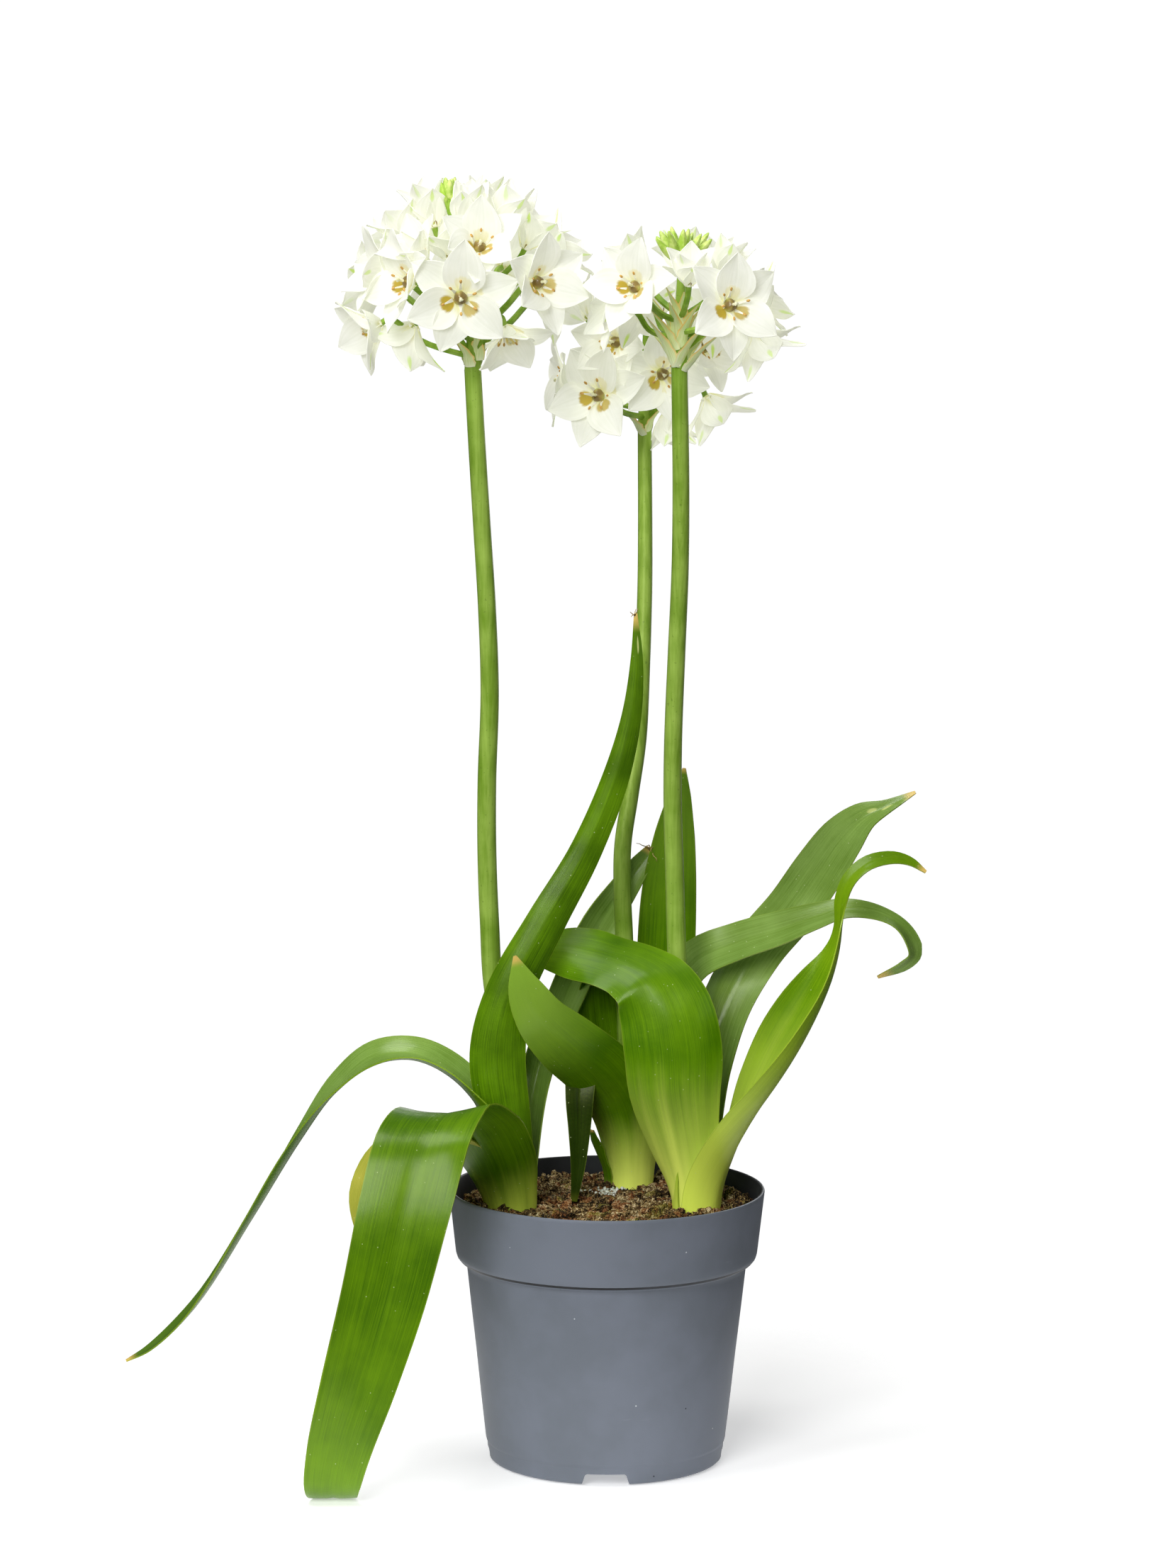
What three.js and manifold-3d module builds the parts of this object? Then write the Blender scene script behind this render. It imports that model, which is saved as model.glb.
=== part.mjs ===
// A potted snowflake chincherinchee, in millimetres, +Z up.
// Three bulbs grow in one 12 cm nursery pot. Each has a round stalk with a head of white star
// flowers, and a clump of strap leaves that clasp the stalk's foot.
// Everything is placed from the pot's axis at the surface it stands on; the last lines move the
// whole plant so that the origin is under the middle of its box.

import Module from 'manifold-3d';
import * as THREE from 'three';
import * as BufferGeometryUtils from 'three/addons/utils/BufferGeometryUtils.js';

const wasm = await Module();
wasm.setup();

// Driving sizes
const GAP = 0.3;
const SOIL_GAP = 0.55;
const HEAD_GAP = 0.5;
const POT_SIDES = 32;
const RIM_RADIUS = 60;
const RIM_HEIGHT = 104.5;
const COLLAR_RADIUS = 57.4;
const COLLAR_FOOT = 78;
const BODY_TOP_RADIUS = 53.2;
const BODY_FOOT_RADIUS = 45.7;
const WALL = 1.2;
const FLOOR_TOP = 5.6;
const FLOOR_UNDER = 4.2;
const NOTCH_COUNT = 4;
const NOTCH_WIDTH = 16;
const DRAIN_COUNT = 4;
const DRAIN_RADIUS = 4;
const DRAIN_CIRCLE = 30;
const SOIL_LEVEL = 95.5;
const SOIL_SWELL = 0.9;
const BULB_RADIUS = 12.5;
const BULB_SHOULDER = 90.5;
const NECK_RADIUS = 4.6;
const NECK_TOP = 98;
const CLUMP_RADIUS = 10.4;
const CLUMP_MOUTH = 14;
const LEAF_FOOT = 91;
const LEAF_THICK = 0.9;
const FOOT_THICK = 1.2;
const LEAF_COLUMNS = 4;
const STALK_SIDES = 9;
const TEPAL_THICK = 0.7;
const OVARY_RADIUS = 2.2;
const OVARY_HEIGHT = 3.4;
const PEDICEL_RADIUS = 1.1;
const BUD_SIDES = 4;

const colours = {
  pot: [0x6a7079, 0.42],
  soil: [0x4a3524, 0.95],
  bulb: [0xd9cfae, 0.6],
  stalk: [0x6d9a3a, 0.5],
  head: [0xf2f2ea, 0.6],
  leaf: [0x4c8214, 0.38],
  dark: [0x2f5c12, 0.4],
  yellow: [0x9a9a2a, 0.5],
};

const up = new THREE.Vector3(0, 0, 1);

// Solids

// A closed mesh becomes a solid once its shared corners are one corner
function solidOf(geometry) {
  const bare = new THREE.BufferGeometry();
  bare.setAttribute('position', geometry.attributes.position);
  bare.setIndex(geometry.index);
  const merged = BufferGeometryUtils.mergeVertices(bare, 1e-3);
  const corners = merged.index.array;
  const facing = [];
  for (let i = 0; i < corners.length; i += 3) {
    const [a, b, c] = corners.slice(i, i + 3);
    if (a !== b && b !== c && c !== a) facing.push([a, b, c]);
  }
  const vertProperties = new Float32Array(merged.attributes.position.array);
  const build = (faces) => new wasm.Manifold(
    new wasm.Mesh({ numProp: 3, vertProperties, triVerts: new Uint32Array(faces.flat()) }),
  );
  const solid = build(facing);
  return solid.volume() > 0 ? solid : build(facing.map(([a, b, c]) => [a, c, b]));
}

function geometryOf(solid) {
  const { vertProperties, triVerts } = solid.getMesh();
  const geometry = new THREE.BufferGeometry();
  geometry.setAttribute('position', new THREE.BufferAttribute(vertProperties, 3));
  geometry.setIndex(new THREE.BufferAttribute(triVerts, 1));
  geometry.computeVertexNormals();
  return geometry;
}

// The largest body of a solid; scraps and sealed bubbles are left out
function wholeBody(solid) {
  const bodies = solid.decompose();
  return bodies.reduce((best, body) => (body.volume() > best.volume() ? body : best));
}

function boxesMeet(a, b) {
  const first = a.boundingBox();
  const second = b.boundingBox();
  return [0, 1, 2].every((k) => first.min[k] < second.max[k] && second.min[k] < first.max[k]);
}

// Cuts a solid clear of each neighbour's grown form that it reaches
function clearOf(solid, neighbours) {
  let result = solid;
  for (const neighbour of neighbours) {
    if (boxesMeet(result, neighbour)) result = result.subtract(neighbour);
  }
  return wholeBody(result);
}

function quads(index, a, b, c, d) {
  index.push(a, b, c, a, c, d);
}

function meshFrom(points, index) {
  const geometry = new THREE.BufferGeometry();
  geometry.setAttribute('position', new THREE.Float32BufferAttribute(points.flatMap((p) => p.toArray()), 3));
  geometry.setIndex(index);
  return geometry;
}

// A profile of [radius, height] pairs turned round an upright axis
function turned(profile, sides, [x, y] = [0, 0]) {
  const geometry = new THREE.LatheGeometry(profile.map(([r, z]) => new THREE.Vector2(r, z)), sides);
  geometry.rotateX(Math.PI / 2);
  geometry.translate(x, y, 0);
  return solidOf(geometry);
}

// A round stem along a curve, with its radii given at even steps from foot to top
function stem(points, radii, sides, steps) {
  const curve = new THREE.CatmullRomCurve3(points.map((p) => new THREE.Vector3(...p)));
  const corners = [];
  const index = [];
  for (let row = 0; row <= steps; row += 1) {
    const t = row / steps;
    const centre = curve.getPoint(t);
    const tangent = curve.getTangent(t);
    const across = new THREE.Vector3(0.31, 0.95, 0.07).cross(tangent).normalize();
    const other = tangent.clone().cross(across);
    const reach = t * (radii.length - 1);
    const before = Math.min(Math.floor(reach), radii.length - 2);
    const radius = THREE.MathUtils.lerp(radii[before], radii[before + 1], reach - before);
    for (let side = 0; side < sides; side += 1) {
      const angle = (2 * Math.PI * side) / sides;
      corners.push(centre.clone()
        .addScaledVector(across, radius * Math.cos(angle))
        .addScaledVector(other, radius * Math.sin(angle)));
    }
  }
  for (let row = 0; row < steps; row += 1) {
    for (let side = 0; side < sides; side += 1) {
      const a = row * sides + side;
      const b = row * sides + ((side + 1) % sides);
      quads(index, a, b, b + sides, a + sides);
    }
  }
  const last = steps * sides;
  for (let side = 1; side < sides - 1; side += 1) {
    index.push(0, side + 1, side, last, last + side, last + side + 1);
  }
  return solidOf(meshFrom(corners, index));
}

// A strap leaf. Each station is [x, y, z, width, curl, side x, side y, side z]: the midrib's
// place, the width round the section, half the angle in degrees that the section bends through,
// and the way from the midrib to the margin on the left of a leaf that faces its stalk.
function leafBlade(stations, { grow = 0, steps = 1.2, columns = LEAF_COLUMNS, thick = LEAF_THICK } = {}) {
  const smooth = (pick, type) => new THREE.CatmullRomCurve3(
    stations.map((s) => new THREE.Vector3(...pick(s))),
    false,
    type,
  );
  const midrib = smooth((s) => s.slice(0, 3), 'centripetal');
  const section = smooth((s) => [s[3], s[4], 0], 'catmullrom');
  const sideway = smooth((s) => s.slice(5, 8), 'catmullrom');
  const rows = Math.round((stations.length - 1) * steps);
  const corners = [];
  for (let row = 0; row <= rows; row += 1) {
    const t = row / rows;
    const tangent = midrib.getTangent(t);
    const centre = midrib.getPoint(t);
    if (row === 0) centre.addScaledVector(tangent, -2 * grow);
    if (row === rows) centre.addScaledVector(tangent, 2 * grow);
    const [blade, curl] = section.getPoint(t).toArray();
    const width = Math.max(blade, 1.2);
    const bend = THREE.MathUtils.degToRad(Math.max(curl, 1));
    const radius = width / (2 * bend);
    const widest = bend * (1 + (4 * grow) / width);
    const side = sideway.getPoint(t);
    side.addScaledVector(tangent, -side.dot(tangent)).normalize();
    const face = side.clone().cross(tangent);
    const full = THREE.MathUtils.lerp(FOOT_THICK, thick, Math.min(1, row / 6));
    for (let column = 0; column <= columns; column += 1) {
      const share = (2 * column) / columns - 1;
      const angle = share * widest;
      const half = THREE.MathUtils.lerp(full, 0.65, Math.abs(share) ** 2) / 2 + grow;
      const normal = face.clone().multiplyScalar(Math.cos(angle)).addScaledVector(side, -Math.sin(angle));
      const middle = centre.clone()
        .addScaledVector(side, radius * Math.sin(angle))
        .addScaledVector(face, radius * (1 - Math.cos(angle)));
      corners.push(middle.clone().addScaledVector(normal, half));
      corners.push(middle.addScaledVector(normal, -half));
    }
  }
  const at = (row, column, back) => 2 * (row * (columns + 1) + column) + back;
  const index = [];
  for (let row = 0; row < rows; row += 1) {
    for (let column = 0; column < columns; column += 1) {
      const [a, b, c, d] = [[row, column], [row + 1, column], [row + 1, column + 1], [row, column + 1]];
      quads(index, at(...a, 0), at(...b, 0), at(...c, 0), at(...d, 0));
      index.push(at(...a, 1), at(...c, 1), at(...b, 1), at(...a, 1), at(...d, 1), at(...c, 1));
    }
    quads(index, at(row, 0, 1), at(row + 1, 0, 1), at(row + 1, 0, 0), at(row, 0, 0));
    quads(index, at(row, columns, 0), at(row + 1, columns, 0), at(row + 1, columns, 1), at(row, columns, 1));
  }
  for (let column = 0; column < columns; column += 1) {
    quads(index, at(0, column, 0), at(0, column + 1, 0), at(0, column + 1, 1), at(0, column, 1));
    quads(index, at(rows, column + 1, 0), at(rows, column, 0), at(rows, column, 1), at(rows, column + 1, 1));
  }
  return solidOf(meshFrom(corners, index));
}

// Pot

function pot() {
  const bodyInside = (z) => THREE.MathUtils.mapLinear(z, 8, 76, BODY_FOOT_RADIUS, BODY_TOP_RADIUS) - WALL;
  const collarInside = COLLAR_RADIUS - WALL;
  const rimInside = RIM_RADIUS - WALL - 0.5;
  const ledge = COLLAR_FOOT - 0.4;
  const shell = turned([
    [0, FLOOR_UNDER], [41, FLOOR_UNDER], [41.3, 0], [43.6, 0], [44.8, 0.9], [45.2, 7.4],
    [BODY_FOOT_RADIUS, 8], [BODY_TOP_RADIUS, 76], [COLLAR_RADIUS, COLLAR_FOOT], [RIM_RADIUS, RIM_HEIGHT - 0.6],
    [RIM_RADIUS - 0.5, RIM_HEIGHT], [rimInside, RIM_HEIGHT - 0.4], [collarInside, ledge + 1.4],
    [bodyInside(76), ledge], [bodyInside(8), 7.4], [43.4, FLOOR_TOP], [0, FLOOR_TOP],
  ], POT_SIDES);
  let body = shell;
  for (let notch = 0; notch < NOTCH_COUNT; notch += 1) {
    const turn = (2 * Math.PI * (notch - 1)) / NOTCH_COUNT;
    const cutter = new THREE.BoxGeometry(8, NOTCH_WIDTH, 2 * FLOOR_UNDER);
    cutter.translate(43, 0, 0);
    cutter.rotateZ(turn);
    body = body.subtract(solidOf(cutter));
  }
  for (let drain = 0; drain < DRAIN_COUNT; drain += 1) {
    const turn = (2 * Math.PI * (drain + 0.5)) / DRAIN_COUNT;
    const drill = new THREE.CylinderGeometry(DRAIN_RADIUS, DRAIN_RADIUS, 8, 8);
    drill.rotateX(Math.PI / 2);
    drill.translate(DRAIN_CIRCLE * Math.cos(turn), DRAIN_CIRCLE * Math.sin(turn), 5);
    body = body.subtract(solidOf(drill));
  }
  return body;
}

// Plants: each has the axis of its bulb and stalk, [x, y]
const plants = { left: [-35, -5], middle: [9, 34], right: [34, -4] };

function bulb(axis) {
  return turned([
    [0, 51], [7, 53], [BULB_RADIUS, 66], [11.5, 80], [10, BULB_SHOULDER - 1], [NECK_RADIUS, BULB_SHOULDER],
    [NECK_RADIUS, NECK_TOP], [0, NECK_TOP],
  ], 12, axis);
}

// Soil: a plug with a lumpy top, 0.3 mm inside the pot, with a plain hole for each clump

function soil() {
  const footRadius = BODY_FOOT_RADIUS - WALL - SOIL_GAP;
  const bodyRadius = BODY_TOP_RADIUS - WALL - SOIL_GAP;
  const collarRadius = COLLAR_RADIUS - WALL - SOIL_GAP;
  const topRadius = collarRadius + 1.4;
  const rings = [50, 37, 24, 11].map((radius) => [radius, SOIL_LEVEL]);
  const profile = [
    [0, FLOOR_TOP + GAP], [footRadius - 1.4, FLOOR_TOP + GAP], [footRadius, 8], [bodyRadius - 0.1, 77.6],
    [collarRadius - 0.2, 79.6], [topRadius, SOIL_LEVEL], ...rings, [0, SOIL_LEVEL],
  ];
  const geometry = new THREE.LatheGeometry(profile.map(([r, z]) => new THREE.Vector2(r, z)), 24);
  geometry.rotateX(Math.PI / 2);
  const place = geometry.attributes.position;
  for (let i = 0; i < place.count; i += 1) {
    const [x, y, z] = [place.getX(i), place.getY(i), place.getZ(i)];
    const lumps = Math.sin(0.31 * x + 1.3) * Math.cos(0.27 * y) + Math.sin(0.53 * y - 0.41 * x);
    if (z > SOIL_LEVEL - 1) place.setZ(i, SOIL_LEVEL + SOIL_SWELL * lumps);
  }
  return solidOf(geometry);
}

// The hole that a clump stands in: its bulb's form, then a plain round mouth
function clumpHole(axis) {
  return turned([
    [0, 51 - GAP], [7 + GAP, 53 - GAP], [BULB_RADIUS + GAP, 66], [11.5 + GAP, 80], [CLUMP_RADIUS, 89],
    [CLUMP_RADIUS, LEAF_FOOT], [CLUMP_MOUTH, SOIL_LEVEL + 3], [0, SOIL_LEVEL + 3],
  ], 12, axis);
}

// Stalks: the route of each, from the bulb's neck to the foot of its flower head

const stalkFoot = ([x, y]) => [[x, y, NECK_TOP + GAP], [x, y, NECK_TOP + 6]];

const stalkRoutes = {
  left: [...stalkFoot(plants.left), [-33, -2, 125], [-36, 2, 152], [-43, 5, 178], [-45, 5, 206], [-46, 3, 233],
    [-46, 0, 260], [-45, -3, 293], [-46, -6, 325], [-48, -8, 357], [-50, -10, 389], [-51.5, -10, 415]],
  middle: [...stalkFoot(plants.middle), [8.5, 33, 120], [7.5, 32, 147], [6.3, 32, 192], [5.3, 33, 215],
    [5.5, 35, 231], [8.3, 38, 250], [11.3, 42, 271], [12.6, 46, 298], [13.4, 51, 328], [13.4, 54, 352],
    [13, 58, 388]],
  right: [...stalkFoot(plants.right), [30.5, 0.5, 130], [28, 5, 162], [26, 8, 194], [25, 9, 222],
    [24, 8, 251], [24, 6, 276], [25, 3, 309], [26, -1, 341], [26, -5, 373], [25, -8, 417]],
};

const stalkRadii = { left: [4.1, 3.2], middle: [3.9, 2.7], right: [4, 3.1] };

function stalk(name, grow = 0) {
  const [foot, top] = stalkRadii[name];
  return stem(stalkRoutes[name], [foot + grow, top + grow], STALK_SIDES, 11);
}

// Leaves

// The foot station of a leaf that clasps its stalk: turn is the way it faces out from the axis,
// ring its distance from the axis, curl half the angle that it wraps round
function foot([x, y], turn, ring, curl) {
  const angle = THREE.MathUtils.degToRad(turn);
  const out = [Math.cos(angle), Math.sin(angle)];
  const width = 2 * ring * THREE.MathUtils.degToRad(curl);
  return [x + ring * out[0], y + ring * out[1], LEAF_FOOT, width, curl, out[1], -out[0], 0];
}

const leaves = {
  left_tall_leaf: ['dark', foot(plants.left, -75, 5.7, 78),
    [-34.5, -11.5, 108, 17, 62, -1, 0, 0], [-38.5, -13, 132, 20.5, 40, -1, 0, 0],
    [-41.5, -13, 157, 22, 30, -1, 0, 0], [-37.5, -12, 180, 18.5, 30, -1, 0, 0.4],
    [-24, -10, 207, 15.5, 30, -1, 0, 0.4], [-9, -8, 234, 12.5, 30, -1, 0, 0.4],
    [2, -7, 261, 10.5, 28, -1, 0, 0.3], [8, -6, 285, 7.6, 24, -1, 0, 0.2],
    [10, -5, 307, 4.6, 16, -1, 0, 0], [9.5, -4, 324, 1.2, 5, -1, 0, 0]],
  left_torn_leaf: ['dark', foot(plants.left, 75, 5.7, 70),
    [-31, 3, 110, 13.5, 66, 0.9, -0.3, 0], [-29, 9, 128, 13.5, 58, 0.9, -0.4, -0.2],
    [-26, 14.5, 147, 13.5, 50, 0.85, -0.3, -0.4], [-20.5, 20, 163, 14, 45, 0.85, -0.2, -0.5],
    [-14, 28, 178, 15, 40, 0.85, -0.1, -0.5], [-4.5, 36.5, 197.5, 15, 38, 0.85, 0, -0.5],
    [5, 44.5, 211, 12, 34, 0.85, 0, -0.5], [12, 47, 221, 8.5, 26, 0.8, 0, -0.6],
    [16.5, 48, 227.5, 4, 10, 0.8, 0, -0.6]],
  left_arching_leaf: ['leaf', foot(plants.left, -140, 7, 95),
    [-41, -10.8, 106, 24, 84, -0.64, 0.75, 0], [-43.5, -12.5, 123, 24, 70, -0.4, 0.9, 0.1],
    [-49, -13.5, 139, 22, 58, -0.1, 0.95, 0.3], [-59, -12, 150.5, 19, 50, 0, 0.95, 0.3],
    [-73, -9, 157, 17, 46, 0, 0.9, 0.4], [-88, -6, 155, 16, 42, 0, 0.85, 0.5],
    [-102, -3, 143, 15, 40, 0.2, 0.8, 0.55], [-117, -1, 122, 14, 38, 0.3, 0.8, 0.5],
    [-135, 0, 92.5, 12.5, 36, 0.3, 0.8, 0.5], [-157, 0, 57.5, 9, 32, 0.3, 0.8, 0.5],
    [-173, 0, 41.5, 5, 24, 0.2, 0.8, 0.5], [-183, 0, 36, 1.2, 5, 0.2, 0.8, 0.5]],
  left_broad_leaf: ['leaf', foot(plants.left, -100, 8.3, 84),
    [-38.5, -15.8, 104, 27, 62, -0.98, 0.17, 0], [-42, -21, 118, 32, 38, -0.98, 0.17, 0],
    [-50, -31, 134, 36, 20, -0.98, 0.1, 0], [-60, -46, 142, 35.5, 8, -0.98, 0, -0.12],
    [-67.5, -61, 135, 35, 6, -0.98, 0, -0.12], [-74, -71, 113, 34, 8, -0.98, 0, 0],
    [-82, -76, 79, 31.5, 10, -0.98, 0, 0.1], [-91, -78, 47, 28, 12, -0.98, 0, 0.1],
    [-98, -77, 23, 24, 12, -0.98, 0, 0.1], [-101, -74, 8, 21, 10, -0.98, 0, 0],
    [-101, -67, 1.5, 18, 6, -0.98, 0, 0], [-100, -58, 1, 12, 4, -0.98, 0, 0],
    [-99, -49, 1, 1.5, 2, -0.98, 0, 0]],
  left_yellow_leaf: ['yellow', foot(plants.left, -172, 9.6, 62),
    [-46, -7, 104, 23, 52, -0.17, 0.98, 0], [-50, -10, 116, 26, 38, -0.3, 0.9, 0],
    [-58, -16, 125, 28, 25, -0.5, 0.85, 0], [-70, -25, 129, 29, 15, -0.55, 0.8, 0],
    [-81, -33, 123, 27, 12, -0.6, 0.8, 0], [-88, -38, 110, 22, 12, -0.6, 0.8, 0],
    [-90, -41, 98, 13, 8, -0.6, 0.8, 0], [-90, -42, 89, 1.5, 3, -0.6, 0.8, 0]],
  middle_curling_leaf: ['leaf', foot(plants.middle, 0, 5.6, 62),
    [15, 33, 112, 13, 52, 0, -1, 0], [17, 32.5, 130, 14, 40, 0.2, -1, 0],
    [20.5, 32, 150, 15, 30, 0.4, -0.9, -0.3], [25, 31, 170, 15.5, 24, 0.6, -0.6, -0.6],
    [33.5, 28, 187, 16, 20, 0.4, -0.4, -0.85], [49, 24, 195, 15.5, 18, 0, -0.4, -0.95],
    [65, 19, 201, 14, 18, 0, -0.4, -0.95], [79, 15, 206.5, 11, 20, 0, -0.5, -0.9],
    [90, 12.5, 210, 8.5, 20, 0, -0.6, -0.8], [101, 11, 209, 7.5, 20, -0.1, -0.7, -0.7],
    [109.5, 11, 205, 7, 20, -0.5, -0.7, -0.4], [114.5, 12, 199, 7, 20, -0.7, -0.6, -0.2],
    [116.5, 14, 192.5, 6.5, 18, -0.8, -0.6, 0], [112.5, 16.5, 187.5, 5, 14, -0.7, -0.5, 0.5],
    [103, 20, 182.5, 1.2, 5, -0.5, -0.4, 0.7]],
  middle_upright_leaf: ['dark', foot(plants.middle, 48, 7, 48),
    [15, 41, 112, 14, 42, 0.8, -0.5, 0], [18, 44, 134, 17, 34, 1, -0.2, 0],
    [21, 46, 160, 21, 28, 1, 0, 0], [22.5, 47, 188, 23, 26, 1, 0, 0],
    [23.5, 47, 212, 21.5, 26, 1, 0, 0], [25.5, 47, 233, 16, 24, 1, 0, 0],
    [27.5, 47, 249, 8.5, 16, 1, 0, 0], [29, 47, 259, 1.2, 4, 1, 0, 0]],
  middle_inner_leaf: ['dark', foot(plants.middle, 150, 7, 48),
    [3.5, 38.5, 110, 12, 42, 0.7, 0.5, 0], [1.5, 37, 129, 13.5, 34, 0.9, 0.3, 0],
    [-1.5, 34.5, 149, 15, 28, 1, 0.2, 0], [-4, 31.5, 166, 15.5, 24, 1, 0.2, 0],
    [-4.5, 28.5, 178, 13, 20, 1, 0.2, 0], [-2.5, 26.5, 188, 1.5, 5, 1, 0.2, 0]],
  middle_hanging_leaf: ['dark', foot(plants.middle, 192, 5.6, 58),
    [2.5, 31, 108, 10.5, 48, -0.3, 0.95, 0], [0, 28.5, 125, 10, 36, -0.6, 0.8, 0],
    [-3, 23.5, 140, 10.5, 26, -0.8, 0.6, 0], [-7, 16, 149, 11.5, 18, -0.95, 0.3, 0],
    [-9.5, 9, 149, 12, 14, -1, 0, 0], [-10.5, 5.5, 139, 11, 14, -1, 0, 0],
    [-10.5, 4, 126, 8.5, 14, -1, 0, 0], [-11, 3, 112, 5.5, 12, -1, 0, 0],
    [-12.5, 2, 98.5, 2.4, 6, -1, 0, 0]],
  middle_sheath_leaf: ['leaf', foot(plants.middle, 196, 9.3, 30),
    [-0.5, 31, 104, 9.5, 28, -0.2, 1, 0], [-3.5, 29, 113, 8, 24, -0.5, 0.8, 0.2],
    [-6, 27.5, 121, 3, 12, -0.6, 0.7, 0.3]],
  middle_front_leaf: ['leaf', foot(plants.middle, -90, 8.3, 76),
    [9, 25.5, 106, 23, 62, -1, 0, 0], [8.5, 21.5, 121, 27, 42, -1, 0, 0],
    [5.5, 14, 134, 28.5, 30, -0.95, 0, -0.2], [-2, 3.5, 147, 28, 24, -0.8, 0, -0.5],
    [-14, -8, 159.5, 25, 20, -0.75, 0, -0.6], [-24.5, -16, 171.5, 20, 18, -0.8, 0, -0.6],
    [-31, -20, 184, 13.5, 14, -0.85, 0, -0.4], [-35, -21.5, 197, 1.2, 4, -0.9, 0, -0.3]],
  right_broad_leaf: ['leaf', foot(plants.right, 62, 5.8, 72),
    [38, 5, 108, 15, 60, 0.8, -0.6, 0], [38.5, 13, 127, 16.5, 46, 0.8, -0.5, -0.2],
    [40, 22, 148, 18.5, 34, 0.8, -0.4, -0.4], [46, 31, 170, 20, 26, 0.8, -0.3, -0.5],
    [58, 37, 190.5, 20.5, 22, 0.75, -0.2, -0.6], [71, 38.5, 206, 20.5, 20, 0.75, -0.2, -0.6],
    [81, 37, 221, 20, 20, 0.75, -0.2, -0.6], [89.5, 34.5, 234, 17.5, 20, 0.75, -0.2, -0.6],
    [97, 32.5, 242, 12.5, 22, 0.6, -0.3, -0.7], [106, 31, 246.5, 6, 24, 0.3, -0.4, -0.85],
    [117, 30, 252.5, 1.2, 5, 0.3, -0.4, -0.85]],
  right_folded_leaf: ['leaf', foot(plants.right, -108, 7.1, 82),
    [31.5, -11.8, 107, 23, 68, -1, 0.1, 0], [29, -12.8, 123, 29, 46, -1, 0, 0],
    [25.5, -13.5, 143, 36, 30, -1, 0, 0], [24.5, -14, 160, 38, 24, -1, 0, 0],
    [21.5, -12.5, 175, 36, 20, -1, 0, -0.15], [16, -9, 185.5, 31, 18, -0.9, -0.25, -0.35],
    [8.5, -4, 190, 27, 16, -0.55, -0.55, -0.65], [0, 1, 192, 25, 16, -0.2, -0.7, -0.7],
    [-9, 6, 193.5, 24, 16, 0, -0.7, -0.7], [-18, 10.5, 194, 20, 14, 0.1, -0.7, -0.7],
    [-25.5, 14, 192, 13, 12, 0.2, -0.7, -0.7], [-31, 17, 187, 1.5, 5, 0.3, -0.7, -0.6]],
  right_sheath_leaf: ['leaf', foot(plants.right, 176, 8.4, 38),
    [24.8, -6.5, 108, 11, 34, -0.1, 1, 0], [22.5, -8, 120, 10, 30, -0.3, 0.95, 0],
    [19.5, -9, 132, 7.5, 24, -0.4, 0.9, 0], [16.5, -10, 142.5, 1.5, 8, -0.4, 0.9, 0]],
  right_twisted_leaf: ['leaf', foot(plants.right, -48, 8.4, 84),
    [41, -11.5, 105, 26, 78, -0.7, -0.7, 0], [46, -13, 118, 31, 74, -0.5, -0.85, 0],
    [52, -14, 130, 35, 72, -0.2, -0.95, 0], [59.5, -14, 143, 37, 72, 0.1, -0.97, -0.1],
    [68.5, -14, 159, 36, 72, 0.3, -0.94, -0.15], [76.5, -13.5, 174.5, 31, 70, 0.35, -0.92, -0.15],
    [82.5, -12.5, 188, 23, 66, 0.35, -0.92, -0.15], [86, -11, 199, 13, 54, 0.3, -0.95, -0.1],
    [87, -10, 208, 7, 34, 0.4, -0.9, 0], [87.5, -10, 217, 6, 22, 0.7, -0.6, -0.3],
    [90.5, -10, 225, 6, 18, 0.6, -0.5, -0.6], [97, -10, 231, 6, 16, 0.3, -0.5, -0.8],
    [106, -9, 233, 5.2, 14, 0, -0.5, -0.85], [113, -8, 231.5, 3.6, 10, -0.2, -0.5, -0.8],
    [119, -8, 227.5, 1.2, 5, -0.3, -0.5, -0.8]],
};

// Flower heads

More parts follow.
